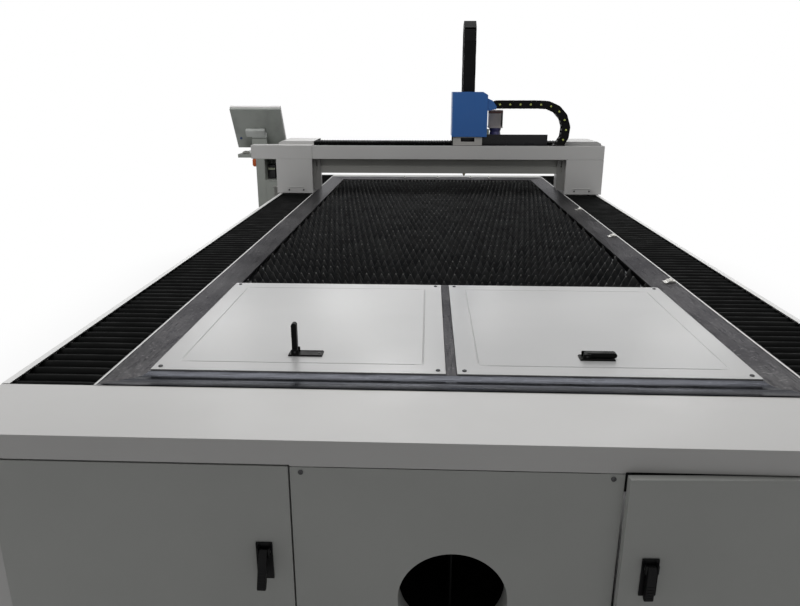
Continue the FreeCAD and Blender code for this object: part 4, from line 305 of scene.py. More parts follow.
# near-black plastic that paints shade: in the screw recesses, in the gap under the covers' front edge and
# over the doors
SHADE_BLACK = plastic("painted_shade_black", (0.012, 0.012, 0.013), 0.7)
LATCH = plastic("latch_black", (0.004, 0.004, 0.0042), 0.42, gloss=0.09)
CHAIN = plastic("chain_nylon", (0.0035, 0.0035, 0.0035), 0.45, gloss=0.07)
CHAIN_DOT = plastic("chain_dot", (0.50, 0.56, 0.14), 0.45)
CLOTH = coated_cloth("bellows_cloth", (0.0016, 0.0018, 0.0017))
SLAT = slat_look()
MOTOR = plastic("motor_grey", (0.78, 0.71, 0.68), 0.42)
MOTOR_BAND = plastic("motor_band", (0.10, 0.03, 0.028), 0.4)
MOTOR_DARK = plastic("motor_black", (0.02, 0.02, 0.021), 0.42, gloss=0.3)
GEAR = paint("gear_case_paint", (0.06, 0.06, 0.20), 0.4, 0.85)
PLUG = plastic("plug_green", (0.60, 0.64, 0.48), 0.45)
ALUMINIUM = steel("head_aluminium", (0.60, 0.61, 0.62), 0.3, (30, 30, 30), 0.9)
BRASS = steel("nozzle_brass", (0.62, 0.42, 0.16), 0.26, (40, 40, 40), 0.9)
CERAMIC = plastic("ceramic_white", (0.75, 0.73, 0.68), 0.28)
MONITOR_BACK = plastic("monitor_back", (0.37, 0.39, 0.365), 0.5, gloss=0.3)
MONITOR_BOX = plastic("monitor_box", (0.60, 0.62, 0.60), 0.5, gloss=0.3)
MOUSE = plastic("mouse_grey", (0.36, 0.36, 0.33), 0.4)
SOCKET = plastic("socket_blue", (0.02, 0.05, 0.16), 0.4)
BEZEL = plastic("bezel_white", (0.80, 0.785, 0.775), 0.35)
SCREEN = plastic("screen_glass", (0.006, 0.007, 0.009), 0.36)
KEYS = plastic("key_black", (0.03, 0.03, 0.033), 0.5)
KEY_TOP = plastic("key_cap", (0.055, 0.055, 0.058), 0.45)
ORANGE = plastic("remote_orange", (0.60, 0.115, 0.02), 0.4, gloss=0.3)
RED = plastic("button_red", (0.55, 0.012, 0.01), 0.3)
YELLOW = plastic("collar_yellow", (0.72, 0.50, 0.03), 0.4)
BOARD = plastic("module_green", (0.05, 0.11, 0.06), 0.45)

# ---------------------------------------------------------------- forms


def circle(sides):
    """The cosine and sine of even turns all round."""
    return [(math.cos(turn), math.sin(turn)) for turn in (2 * math.pi * i / sides for i in range(sides))]


class Form:
    """Collects plain solids into one mesh, in metres."""

    def __init__(self):
        self.points = []
        self.faces = []

    def skin(self, rows, closed=True, capped=True):
        """A surface through rows of points; closed joins each row's ends, capped fills the outer rows."""
        start, wide, count = len(self.points), len(rows[0]), len(rows)
        self.points += [Vector(point) for row in rows for point in row]
        for row in range(start, start + (count - 1) * wide, wide):
            for a in range(row, row + (wide if closed else wide - 1)):
                b = a + 1 if a + 1 < row + wide else row
                self.faces.append((a, b, b + wide, a + wide))
        if closed and capped:
            for row in (start, start + (count - 1) * wide):
                self.faces.append(tuple(range(row, row + wide)))
        return self

    def sheet(self, rows):
        """An open surface through rows of points."""
        return self.skin(rows, False)

    def box(self, low, high):
        """A box between two corners."""
        (x0, y0, z0), (x1, y1, z1) = low, high
        return self.skin([[(x0, y0, z), (x1, y0, z), (x1, y1, z), (x0, y1, z)] for z in (z0, z1)])

    def prism(self, outline, push):
        """A flat outline pushed along a vector."""
        outline = [Vector(point) for point in outline]
        return self.skin([outline, [point + Vector(push) for point in outline]])

    def slab(self, outline, y, thick):
        """An outline of (x, z) at a y, pushed to the rear."""
        return self.prism([(x, y, z) for x, z in outline], (0, thick, 0))

    def turned(self, rings, at, axis=(0, 0, 1), sides=24):
        """A body turned round an axis through a point, from rings of (radius, distance)."""
        axis, at = Vector(axis).normalized(), Vector(at)
        side = axis.orthogonal().normalized()
        other = axis.cross(side)
        return self.skin([
            [at + axis * distance + (side * cos + other * sin) * radius for cos, sin in circle(sides)]
            for radius, distance in rings
        ])

    def tube(self, path, radius, sides=8):
        """A round tube along a path of points."""
        path = [Vector(point) for point in path]
        rows = []
        for i, point in enumerate(path):
            ahead = (path[min(i + 1, len(path) - 1)] - path[max(i - 1, 0)]).normalized()
            side = ahead.cross(Vector((0, 0, 1)))
            if side.length < 0.1:
                side = ahead.cross(Vector((1, 0, 0)))
            side.normalize()
            lift = side.cross(ahead).normalized()
            rows.append([point + (side * cos + lift * sin) * radius for cos, sin in circle(sides)])
        return self.skin(rows)

    def make(
        self, name, look, body=None, stands_for=(), bevel=0.0, steps=2, smooth=35, slot=None, moved=None
    ):
        """The collected solids as one piece, with its look, body and the nodes that it replaces; its slot is
        not used.
        """
        mesh = bpy.data.meshes.new(name)
        points = [moved @ point for point in self.points] if moved else self.points
        mesh.from_pydata(points, [], self.faces)
        shell = bmesh.new()
        shell.from_mesh(mesh)
        bmesh.ops.recalc_face_normals(shell, faces=shell.faces)
        shell.to_mesh(mesh)
        shell.free()
        mesh.materials.append(look)
        mesh.polygons.foreach_set("use_smooth", [True] * len(mesh.polygons))
        mesh.set_sharp_from_angle(angle=math.radians(smooth))
        mesh.update()
        piece = bpy.data.objects.new(name, mesh)
        bpy.context.scene.collection.objects.link(piece)
        if bevel:
            soften(piece, bevel, steps)
        if stands_for:
            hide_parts(*stands_for)
        if body:
            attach(piece, body)
        return piece


def soften(piece, width, steps=2):
    """Small rounds on every sharp edge."""
    rounds = piece.modifiers.new("rounds", "BEVEL")
    rounds.width = width
    rounds.segments = steps
    rounds.limit_method = "ANGLE"
    rounds.angle_limit = math.radians(30)
    rounds.use_clamp_overlap = True
    rounds.harden_normals = True


def dress(node, look, bevel=0.0, steps=2):
    """A better material, and rounded folds, on a piece of the frame."""
    piece = frame["nodes"][node]
    piece.data.materials.clear()
    piece.data.materials.append(look)
    if bevel:
        weld = piece.modifiers.new("weld", "WELD")
        weld.merge_threshold = 0.00002
        soften(piece, bevel, steps)


def mm(*values):
    """Millimetres as metres."""
    return tuple(value / 1000 for value in values)


# bodies of the moving assemblies
BED, GANTRY, CARRIAGE, HEAD = "bed", "gantry", "body_carriage", "body_z_slide"

# ---------------------------------------------------------------- pieces of the frame, with looks and rounds

for look, bevel, nodes in (
    (SHELL, 0.0022, "front_housing"),
    (SHELL, 0.0008, "gantry_fascia end_cover_left end_cover_right leg_covers"),
    (SHELL, 0.0005, "way_channels"),
    (FACE, 0.0012, "door_left door_right"),
    (FACE, 0.0006, "centre_front_panel side_panel_left side_panel_right rear_panel"),
    (FACE, 0.0006, "scrap_drawer_front scrap_drawer_rear"),
    (FRAME, 0.004, "bed_frame"),
    (FRAME, 0.0008, "slat_combs"),
    (PLATED, 0.0012, "levelling_feet"),
    (DUCT_SHADE, 0.0006, "exhaust_duct"),
    (BAND, 0.0012, "table_frame"),
    (GROUND, 0.0015, "y_rails"),
    (GROUND, 0.0012, "y_bearing_blocks"),
    (GROUND, 0.001, "y_racks x_rails"),
    (GROUND, 0.0004, "x_pinion y_pinion_left y_pinion_right"),
    (GROUND, 0.0, "z_screw"),
    (MACHINE, 0.002, "gantry_beam"),
    (MACHINE, 0.001, "z_slide"),
    (POST, 0.0008, "leg_posts"),
    (TRAY, 0.0005, "chain_tray"),
    (CARRIER, 0.001, "carriage"),
    (MOTOR_DARK, 0.002, "z_motor"),
    (CONSOLE, 0.0012, "console_column"),
    (CONSOLE, 0.0015, "console_desk"),
):
    for node in nodes.split():
        dress(node, look, bevel)

# ---------------------------------------------------------------- slats


def slat_rows():
    """Thirty saw-tooth bars; every other one is half a tooth along, and each tip is worn its own way."""
    rng = random.Random(11)
    low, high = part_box("slats")
    teeth, rows, thick, deep = 53, 30, 0.003, 0.03
    pitch = (high.x - low.x) / teeth
    step = (high.y - low.y - thick) / (rows - 1)
    form = Form()
    for row in range(rows):
        y = low.y + row * step
        shift = 0.5 * pitch if row % 2 else 0.0
        outline = [(low.x, low.z), (high.x, low.z), (high.x, high.z - deep)]
        for i in range(teeth - (1 if shift else 0)):
            middle = high.x - shift - (i + 0.5) * pitch
            worn = rng.random() ** 3 * 0.006
            lean = rng.uniform(-0.0012, 0.0012)
            blunt = 0.0012 + worn * 0.25
            tip = high.z - 0.0002 - worn
            outline += [(middle + blunt + lean, tip), (middle - blunt + lean, tip)]
            outline.append((middle - 0.5 * pitch, high.z - deep - rng.random() * 0.0015))
        outline[-1] = (low.x, high.z - deep)
        form.slab(outline, y, thick)
    form.make("slat_bars", SLAT, BED, ["slats"], smooth=20, slot="slat_steel")


slat_rows()

# ---------------------------------------------------------------- bellows


def folds(span, count, first, last, foot, place):
    """Part of a folded cover, as a closed skin: rounded ridges with a sharp, narrow dip between them.

    The part runs from fold `first` to fold `last` of `count`; place turns (along, across share, drop)
    into a point, and the walls at both sides reach down to `foot`.
    """
    profile = ((0.0, 1.0), (0.16, 0.42), (0.36, 0.08), (0.50, 0.0), (0.64, 0.10), (0.86, 0.46))
    edges = ((0.0, foot), (0.003, 0.9), (0.03, 0.16), (0.09, 0.0), (0.5, -0.04))
    columns = list(edges) + [(1 - share, drop) for share, drop in reversed(edges[:-1])]
    length = (span[1] - span[0]) / count
    steps = [(fold + share, dip) for fold in range(first, last) for share, dip in profile] + [(last, 1.0)]
    upper = [
        [
            place(span[0] + length * at, share, foot if drop == foot else dip + drop * 0.5)
            for share, drop in columns
        ]
        for at, dip in steps
    ]
    wall = Vector((0, 0, CLOTH_WALL))
    rings = [row + [Vector(point) - wall for point in reversed(row)] for row in upper]
    form = Form().skin(rings, capped=False)
    wide = len(columns)
    for first_point in (0, len(form.points) - 2 * wide):
        for c in range(first_point, first_point + wide - 1):
            opposite = 2 * first_point + 2 * wide - 1 - c
            form.faces.append((c, c + 1, opposite - 1, opposite))
    return form


CLOTH_WALL = 0.0012


def smooth_share(share):
    return 0.5 - math.sin(math.asin(1 - 2 * share) / 3)


def fold_groups(count, growth=1.45, middle=0.4045):
    marks = [0, 1]
    while True:
        reach = smooth_share(marks[-1] / count) * growth
        mark = max(int(count * reach * reach * (3 - 2 * reach)), marks[-1] + 1)
        if mark / count > middle:
            break
        marks.append(mark)
    return marks + [count - mark for mark in reversed(marks)]


def folded_cover(name, node, axis, span, count, foot, place):
    """A folded cover from its fixed to its moving end, in groups of folds."""
    marks = fold_groups(count)
    axis = Vector(axis)
    for number, (first, last) in enumerate(zip(marks, marks[1:])):
        part = folds(span, count, first, last, foot, place)
        piece = part.make(f"{name}_{number + 1}", CLOTH, smooth=60, slot="bellows_fabric")
        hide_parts(node)
        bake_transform(piece)


def way_covers():
    """Folded covers over the ways, before and behind the gantry."""
    low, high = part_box("way_bellows")
    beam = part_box("gantry_beam")
    top, depth, near = high.z - 0.0008, 0.015, 0.874
    foot = (top - low.z - CLOTH_WALL) / depth
    spans = (("front", (low.y, beam[0].y + 0.001), 72), ("rear", (high.y, beam[1].y - 0.001), 54))
    for inner, word in ((near, "right"), (-high.x, "left")):

        def place(along, share, drop):
            return (inner + share * (high.x - near), along, top - depth * drop)

        for end, span, count in spans:
            name = f"way_cover_{end}_{word}"
            folded_cover(name, "way_bellows", (0, 1, 0), span, count, foot, place)


def beam_covers():
    """Folded covers over the beam's rails, left and right of the carriage."""
    low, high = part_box("x_bellows")
    top, depth = high.z + 0.003, 0.007
    foot = (top - low.z - CLOTH_WALL) / depth

    def place(along, share, drop):
        return (along, high.y + share * (low.y - high.y), top - depth * drop)

    for word, span, count in (("left", (low.x, 0.097), 60), ("right", (high.x, 0.416), 33)):
        name = f"beam_cover_{word}"
        folded_cover(name, "x_bellows", (1, 0, 0), span, count, foot, place)


way_covers()
beam_covers()

# ---------------------------------------------------------------- drag chains


class Chain:
    """A U-shaped chain of linked plates: out, round its bend and back underneath."""

    def __init__(self, origin, along, up, across, upper, lower, radius, height, width, count):
        self.origin, self.along, self.up, self.across = (Vector(v) for v in (origin, along, up, across))
        self.upper, self.lower, self.radius = upper, lower, radius
        self.height, self.width, self.count = height, width, count
        self.total = upper + math.pi * radius + lower

    def angle(self, distance):
        """How far round the bend a distance along the chain lies."""
        return min(max((distance - self.upper) / self.radius, 0), math.pi)

    def place(self, distance):
        angle = self.angle(distance)
        run = min(distance, self.upper) + self.radius * math.sin(angle)
        run -= max(distance - self.upper - math.pi * self.radius, 0)
        return self.origin + self.along * run + self.up * (self.radius * math.cos(angle) - self.radius)

    def pin(self, i):
        """Where a link's first pin stands."""
        return self.place(self.total * i / self.count)

    def link(self, i):
        """The link's first pin, its direction, its outward normal and its length."""
        start, stop = self.pin(i), self.pin(i + 1)
        ahead = (stop - start).normalized()
        hand = 1 if self.across.cross(self.along).dot(self.up) > 0 else -1
        return start, ahead, self.across.cross(ahead) * hand, (stop - start).length

    def run(self, i):
        """0 on the upper run, 1 in the bend and 2 on the lower run."""
        middle = self.total * (i + 0.5) / self.count
        return 0 if middle < self.upper else (1 if middle < self.upper + math.pi * self.radius else 2)

    def parts(self, which):
        """One run's links in parts, each with two ends along the run."""
        links = [i for i in range(self.count) if self.run(i) == which]
        if which == 1:
            # ends so far apart that the whole bend lies halfway between them
            ends = (self.along * far + self.origin + self.along * self.upper for far in (-50, 50))
            return [(links, *ends)]
        marks = [mark for mark in (0, 1, 2, 4, 8) if mark < len(links)] + [len(links)]
        if which == 2:
            marks = [len(links) - mark for mark in reversed(marks)]
        found = []
        for ends in zip(marks, marks[1:]):
            shares = [smooth_share((1.0 if which == 0 else 0.5) - 0.5 * mark / len(links)) for mark in ends]
            low, high = (self.pin(links[0] + mark).dot(self.along) for mark in ends)
            line = (high - low) / (shares[1] - shares[0])
            begin = low - shares[0] * line
            found.append((links[ends[0]:ends[1]], self.along * begin, self.along * (begin + line)))
        return found

    def plates(self, links, closed, dot):
        """Side plates and bars of some links, and apart from them their dots (share of the link, radius)."""
        form, dots = Form(), Form()
        wall, lap, rim = 0.0045, self.height * 0.46, self.width / 2
        inner = rim - (wall if closed else 2 * wall + 0.0006)
        for i in links:
            start, ahead, out, length = self.link(i)
            outer = i % 2 == 0
            half = rim - (0.0 if outer else 0.0006 if closed else wall + 0.0003)
            # next to the bend a plate ends at its pin, under the round end of the bend's own link
            first = self.run(i) == 2 and self.run(i - 1) != 2
            last = self.run(i) == 0 and self.run(i + 1) != 0
            outline = []
            ends = ((start, math.pi / 2, first), (start + ahead * length, -math.pi / 2, last))
            for centre, turn0, flat in ends:
                for turn in (turn0 + math.pi * k / 6 for k in range(7)):
                    past = 0.0 if flat else lap * math.cos(turn)
                    outline.append(centre + ahead * past + out * (lap * math.sin(turn)))
            for side in (1, -1):
                asides = (half, rim - 0.0008, rim + 0.0004)
                face, pin, mark = (self.across * (side * aside) for aside in asides)
                form.prism([point + face for point in outline], self.across * (-side * wall))
                barrel = [(self.height * 0.2, -0.0012), (self.height * 0.2, 0.0012)]
                form.turned(barrel, start + pin, self.across, 16)
                rings = [(dot[1], -0.0004), (dot[1], 0.0010), (dot[1] * 0.8, 0.0016)]
                dots.turned(rings, start + ahead * (length * dot[0]) + mark, self.across * side, 16)
            closing = (0.0 if first else -0.04, 1.0 if last else 1.04)
            sunk = 0.006 if outer or not closed else 0.0067
            for a, b in (closing,) if closed else ((0.22, 0.42), (0.58, 0.78)):
                for level in (1, -1):
                    corner = start + ahead * (length * a) + out * (level * (self.height / 2 - sunk))
                    bar = [corner + self.across * aside for aside in (-inner, inner)]
                    bar += [point + out * (level * 0.0045) for point in reversed(bar)]
                    form.prism(bar, ahead * (length * (b - a)))
        return form, dots

    def cables(self, links, offsets):
        """Cables lying inside some links: (across, outward, radius)."""
        form = Form()
        for across, out, radius in offsets:
            path = []
            for quarter in range(4 * links[0], 4 * links[-1] + 5):
                distance = self.total * quarter / 4 / self.count
                angle = self.angle(distance)
                normal = self.up * math.cos(angle) + self.along * math.sin(angle)
                path.append(self.place(distance) + self.across * across + normal * out)
            form.tube(path, radius)
        return form


def chain_pieces(name, chain, node, closed, dot=None, offsets=()):
    """Builds a chain in parts: its upper run, its bend and its lower run."""
    for which, run in ((0, "upper"), (1, "bend"), (2, "lower")):
        for number, (links, start, stop) in enumerate(chain.parts(which)):
            form, dots = chain.plates(links, closed, dot or (0.0, 0.001))
            label = f"{name}_{run}_{number + 1}"
            made = [form.make(label, CHAIN, bevel=0.0008, steps=1, slot="chain_plastic")]
            if dot:
                made.append(dots.make(f"{label}_dots", CHAIN_DOT, slot="chain_plastic"))
            if offsets:
                cables = chain.cables(links, offsets)
                made.append(cables.make(f"{label}_cables", MOTOR_DARK, slot="chain_plastic"))
            for piece in made:
                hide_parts(node)
                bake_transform(piece)
                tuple(start)
                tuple(stop)


def x_chain():
    """The open chain that stands over the beam, with a pale dot on every link."""
    low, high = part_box("x_drag_chain")
    tall, wide, radius = 0.057, high.y - low.y, 0.1615
    start = (0.383, (low.y + high.y) / 2, low.z + tall / 2 + 2 * radius)
    chain = Chain(start, (1, 0, 0), (0, 0, 1), (0, 1, 0), 0.307, 0.540, radius, tall, wide, 20)
    offsets = ((-0.018, -0.004, 0.008), (0.004, -0.006, 0.010), (0.022, -0.002, 0.006))
    chain_pieces("beam_chain", chain, "x_drag_chain", False, (0.30, 0.0068), offsets)


def tower_chain():
    """The closed chain that stands behind the cover: up from the carriage and down to the head."""
    low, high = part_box("tower_chain")
    base, near_y, radius, tall, wide = 1.490, 1.375, 0.090, 0.050, 0.082
    rise = high.z + 0.030 - tall / 2 - radius - base
    drop = rise + base - low.z
    start = (high.x - wide / 2 + 0.013, near_y, base)
    chain = Chain(start, (0, 0, 1), (0, -1, 0), (1, 0, 0), rise, drop, radius, tall, wide, 17)
    chain_pieces("head_chain", chain, "tower_chain", True)


def y_chain():
    """The closed chain that feeds the gantry, low on the left side."""
    low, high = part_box("y_drag_chain")
    tall, radius, foot = 0.040, 0.100, 0.340
    bend = (high.y + foot - 1.700) / 2
    start = ((low.x + high.x) / 2, high.y, low.z + tall / 2 + 2 * radius)
    wide = high.x - low.x
    runs = (high.y - bend, foot - bend)
    chain = Chain(start, (0, -1, 0), (0, 0, 1), (1, 0, 0), *runs, radius, tall, wide, 34)
    chain_pieces("bed_chain", chain, "y_drag_chain", True)


x_chain()
tower_chain()
y_chain()

# ---------------------------------------------------------------- covers over the front of the table


def cover(node):
    """A lift-off cover: a sheet with four pressed lines that stop short of its corners."""
    low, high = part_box(node)
    inset, short, half, deep = 0.0575, 0.080, 0.0026, 0.0021

    def grid(near, far):
        """Two pressed lines along one axis, and all places that the sheet's grid needs there."""
        lines = (near + inset, far - inset)
        flanks = (line + aside for line in lines for aside in (-half, 0, half))
        return lines, sorted({near, far, near + short, far - short, *flanks})

    lines_x, xs = grid(low.x, high.x)
    lines_y, ys = grid(low.y, high.y)

    def level(x, y):
        pressed = x in lines_x and low.y + short <= y <= high.y - short
        pressed = pressed or y in lines_y and low.x + short <= x <= high.x - short
        return high.z - (deep if pressed else 0.0)

    rim = [(low.x, low.y), (high.x, low.y), (high.x, high.y), (low.x, high.y), (low.x, low.y)]
    form = Form().sheet([[(x, y, level(x, y)) for x in xs] for y in ys])
    form.sheet([[(x, y, low.z) for x in reversed(xs)] for y in ys])
    form.sheet([[(x, y, z) for x, y in rim] for z in (low.z, high.z)])
    form.make(node + "_sheet", COVER, BED, [node], smooth=1, slot="housing_paint")
    # a dark strip under the front edge: painted shadow in the gap under the cover
    near, far = low.x + 0.001, high.x - 0.001
    gap_shade = Form().box((near, low.y - 0.0012, low.z - 0.0042), (far, low.y + 0.006, low.z - 0.0002))
    gap_shade.make(node + "_seal", SHADE_BLACK, BED, slot="black_oxide")


cover("cover_left")
cover("cover_right")


def screw(form, hex_shades, at, radius=0.006, tall=0.0032, axis=(0, 0, 1)):
    """A domed screw head standing on a point, with a dark hexagon on top as the painted shade of its recess.
    """
    axis, at = Vector(axis), Vector(at)
    dome = [(radius, 0), (radius, tall * 0.45), (radius * 0.86, tall * 0.8), (radius * 0.55, tall)]
    form.turned(dome, at, axis, 20)
    # a thin dark hexagon on the head: painted shade of the recess
    hex_shades.turned([(radius * 0.42, 0), (radius * 0.42, 0.0002)], at + axis * tall, axis, 6)


def cover_screws():
    heads, hex_shades = Form(), Form()
    for node in ("cover_left", "cover_right"):
        low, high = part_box(node)
        for x in (low.x + 0.019, high.x - 0.019):
            for y in (low.y + 0.020, high.y - 0.020):
                screw(heads, hex_shades, (x, y, high.z))
    heads.make("cover_screws", BLACKENED, BED, ["deck_fasteners"], slot="black_oxide")
    # the dark hexagons: painted shade of the screw recesses
    hex_shades.make("cover_screw_recess_shades", SHADE_BLACK, BED, slot="black_oxide")


cover_screws()


DECK, DROP = 0.850, 0.012


def band_level(x):
    """The height of the sloping side bands."""
    return DECK - DROP * (BAND_INNER + BAND_WIDE - abs(x)) / BAND_WIDE


def front_strips():
    """Two hollowed strips of dark rolled steel on the front band; the inner one rises to the covers."""
    upper, lower = [], []
    low_at, low_z = 0.0215, DECK - 0.0065
    for i in range(17):
        ahead = 0.0012 + 0.0408 * (i / 16) ** 1.3
        rise = 0.0082 if ahead < low_at else 0.0026
        reach = low_at - 0.0012 if ahead < low_at else 0.042 - low_at
        upper.append((ahead, low_z + rise * ((ahead - low_at) / reach) ** 2))
    for i in range(13):
        ahead = 0.0425 + (BAND_DEEP - 0.0435) * i / 12
        lower.append((ahead, DECK - DROP * (1 - ahead / BAND_DEEP) + 0.0006 + 0.0024 * (i / 6 - 1) ** 2))
    for number, profile in enumerate((upper, lower)):
        rows = []
        for ahead, z in profile:
            half = BAND_INNER + BAND_WIDE * ahead / BAND_DEEP
            ripple = [0.0004 * math.sin(k * 1.7 + number) for k in range(41)]
            rows.append([(-half + half * k / 20, COVER_START - ahead, z + ripple[k]) for k in range(41)])
        Form().sheet(rows).make(f"front_strip_{number + 1}", FRONT_BAND, BED, smooth=60, slot="table_steel")


def door_gap_shades():
    """Dark sheets behind the header that close the gap over each door: painted shade in the gap."""
    low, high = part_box("door_left")
    form = Form()
    for side in (1, -1):
        near, far = side * low.x, side * high.x
        form.box((near, high.y + 0.010, high.z - 0.060), (far, high.y + 0.014, high.z + 0.004))
    form.make("door_gap_shades", SHADE_BLACK, BED, slot="housing_paint")


door_gap_shades()


def way_edge_highlights():
    """Bright strips along the ways, outside the folded covers and between them and the bands: painted
    highlights of their lit edges.
    """
    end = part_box("way_channels")[1]
    front, back = (corner.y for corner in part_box("table_frame"))
    edge = BAND_INNER + BAND_WIDE
    form = Form()
    for side in (1, -1):
        for near, far, last in ((end.x - 0.020, end.x - 0.001, end.y), (edge - 0.002, edge + 0.004, back)):
            form.box((side * near, front + 0.001, DECK + 0.0001), (side * far, last - 0.001, DECK + 0.0014))
    form.make("way_edge_highlights", EDGE_HIGHLIGHT, BED, bevel=0.0004, steps=1, slot="housing_paint")


front_strips()
way_edge_highlights()


def band_clamps():
    """Hold-down clamps along the right band: a stepped block with a bright cap screw."""
    blocks, heads, hex_shades = Form(), Form(), Form()
    near, far, top = 0.822, 0.860, 0.8565
    outline = [(near, band_level(near)), (far, band_level(far)), (far, top), (0.838, top), (0.832, 0.8505)]
    for y in (-1.050, -0.2129, 0.5789):
        blocks.slab(outline + [(near, 0.8490)], y, 0.032)
        screw(heads, hex_shades, (0.849, y + 0.016, top), 0.0085, 0.0055)
    blocks.make("band_clamps", BRIGHT, BED, ["deck_fasteners"], bevel=0.0008, slot="plated_steel")
    heads.make("band_clamp_screws", BRIGHT, BED, slot="plated_steel")
    # the dark hexagons: painted shade of the screw recesses
    hex_shades.make("band_clamp_recess_shades", SHADE_BLACK, BED, slot="black_oxide")


def rear_studs():
    """Studs with nuts on the rear band."""
    nuts, studs = Form(), Form()
    for x in (-0.261, 0.009, 0.279, 0.430):
        foot = (x, 2.143, DECK - 0.006)
        nuts.turned([(0.0085, 0), (0.0095, 0.0008), (0.0095, 0.007), (0.0082, 0.008)], foot, sides=6)
        studs.turned([(0.0045, 0.0), (0.0045, 0.0165), (0.0036, 0.0175)], foot, sides=14)
    nuts.make("rear_stud_nuts", BRIGHT, BED, ["deck_fasteners"], slot="plated_steel")
    studs.make("rear_studs", PLATED, BED, slot="plated_steel")


band_clamps()
rear_studs()

# ---------------------------------------------------------------- latches


def latch_plate(name, node, body, moved):
    """A latch's base: a shallow tray with two rails, two ears, a pin through them and a screw."""
    plate = Form().box(mm(-46, -18, 0), mm(46, 18, 3.2))
    for side in (1, -1):
        plate.box((-0.038, side * 0.0103, 0.003), (-0.018, side * 0.0143, 0.0165))
        plate.box((-0.044, side * 0.0160, 0.003), (0.044, side * 0.0180, 0.0045))
    plate.make(name, LATCH, body, [node], bevel=0.0008, slot="black_oxide", moved=moved)
    heads, hex_shades = Form(), Form()
    screw(heads, hex_shades, (0.036, 0, 0.0032), 0.0035, 0.0016)
    heads.turned([(0.0028, -0.0150), (0.0028, 0.0150)], (-0.028, 0, 0.010), (0, 1, 0), 12)
    heads.make(name + "_screws", BLACKENED, body, slot="black_oxide", moved=moved)
    # the dark hexagons: painted shade of the screw recesses
    hex_shades.make(name + "_recess_shades", SHADE_BLACK, body, slot="black_oxide", moved=moved)


def latch_lever(name, node, body, moved, lift):
    """The lever: a full arm, round at its free end, with ribs for the thumb."""
    form = Form()
    reach, half, under, over = 0.0722, 0.0092, -0.0058, 0.0085
    middle, round_end = (under + over) / 2, (over - under) / 2
    turns = [math.pi * k / 10 for k in range(11)]
    arc = [(reach + round_end * math.sin(t), middle - round_end * math.cos(t)) for t in turns]
    outline = [(-0.0055, over - 0.004), (-0.0055, under)] + arc + [(0.004, over)]
    form.slab(outline, -half, 2 * half)
    form.turned([(0.0062, -0.0098), (0.0062, 0.0098)], (0, 0, 0), (0, 1, 0), 20)
    pad = Form()
    for k in range(5):
        x = 0.040 + k * 0.007
        pad.box((x, -0.0072, 0.0083), (x + 0.0028, 0.0072, 0.0093))
    place = moved @ Matrix.Translation(mm(-28, 0, 10)) @ Matrix.Rotation(-math.radians(lift), 4, "Y")
    form.make(name, LATCH, body, [node], bevel=0.0014, steps=3, slot="black_oxide", moved=place)
    pad.make(name + "_ribs", LATCH, body, slot="black_oxide", moved=place)


def on_door(side, hinge):
    """The placement that hangs a latch on a door's face, with the door turned by an angle."""
    flat = Matrix.Rotation(-math.pi / 2, 4, "Z") @ Matrix.Rotation(math.pi / 2, 4, "Y")
    pivot = Vector((0.996, -2.301, 0))
    swing = Matrix.Rotation(math.radians(hinge), 4, "Z")
    turn = Matrix.Translation(pivot) @ swing @ Matrix.Translation(-pivot)
    return turn @ Matrix.Translation((side * 0.408, -2.301, 0.559)) @ flat


for side, lift, word in ((-1, 90, "left"), (1, 0, "right")):
    at = Matrix.Translation((side * 0.387, -1.838, 0.856))
    latch_plate(f"cover_latch_base_{word}", "cover_latch_plates", BED, at)
    latch_lever(f"cover_latch_lever_{word}", f"cover_lever_{word}", f"body_cover_lever_{word}", at, lift)
for side, hinge, lift, word in ((-1, 0, 26, "left"), (1, 2, 0, "right")):
    at = on_door(side, hinge)
    latch_plate(f"door_latch_base_{word}", f"door_latch_plate_{word}", f"{word}_door", at)
    latch_lever(f"door_latch_arm_{word}", f"door_lever_{word}", f"body_door_lever_{word}", at, lift)

# ---------------------------------------------------------------- housing details


def housing_details():
    """Screws beside the centre panel."""
    heads, hex_shades = Form(), Form()
    for x in (-0.3215, 0.3215):
        screw(heads, hex_shades, (x, -2.300, 0.777), 0.0055, 0.003, (0, -1, 0))
    heads.make("panel_screws", BLACKENED, BED, slot="plated_steel")
    # the dark hexagons: painted shade of the screw recesses
    hex_shades.make("panel_screw_recess_shades", SHADE_BLACK, BED, slot="black_oxide")


housing_details()

# ---------------------------------------------------------------- gantry details


def leg_details():
    """Screws and the stiffening line at the foot of each leg cover."""
    heads, hex_shades, lips = Form(), Form(), Form()
    for side in (1, -1):
        for x in (0.930, 1.030):
            screw(heads, hex_shades, (side * x, 1.175, 0.877), 0.0055, 0.003, (0, -1, 0))
        outline = [(-0.062, 0.884), (-0.052, 0.894), (0.052, 0.894), (0.062, 0.884)]
        path = [(side * 0.980 + x, 1.1748, z) for x, z in outline]
        lips.tube(path, 0.0022, 8)
    heads.make("leg_cover_screws", BLACKENED, GANTRY, slot="black_oxide")
    # the dark hexagons: painted shade of the screw recesses
    hex_shades.make("leg_cover_recess_shades", SHADE_BLACK, GANTRY, slot="black_oxide")
    lips.make("leg_cover_lips", SHELL, GANTRY, slot="housing_paint")


leg_details()

# ---------------------------------------------------------------- motors and head


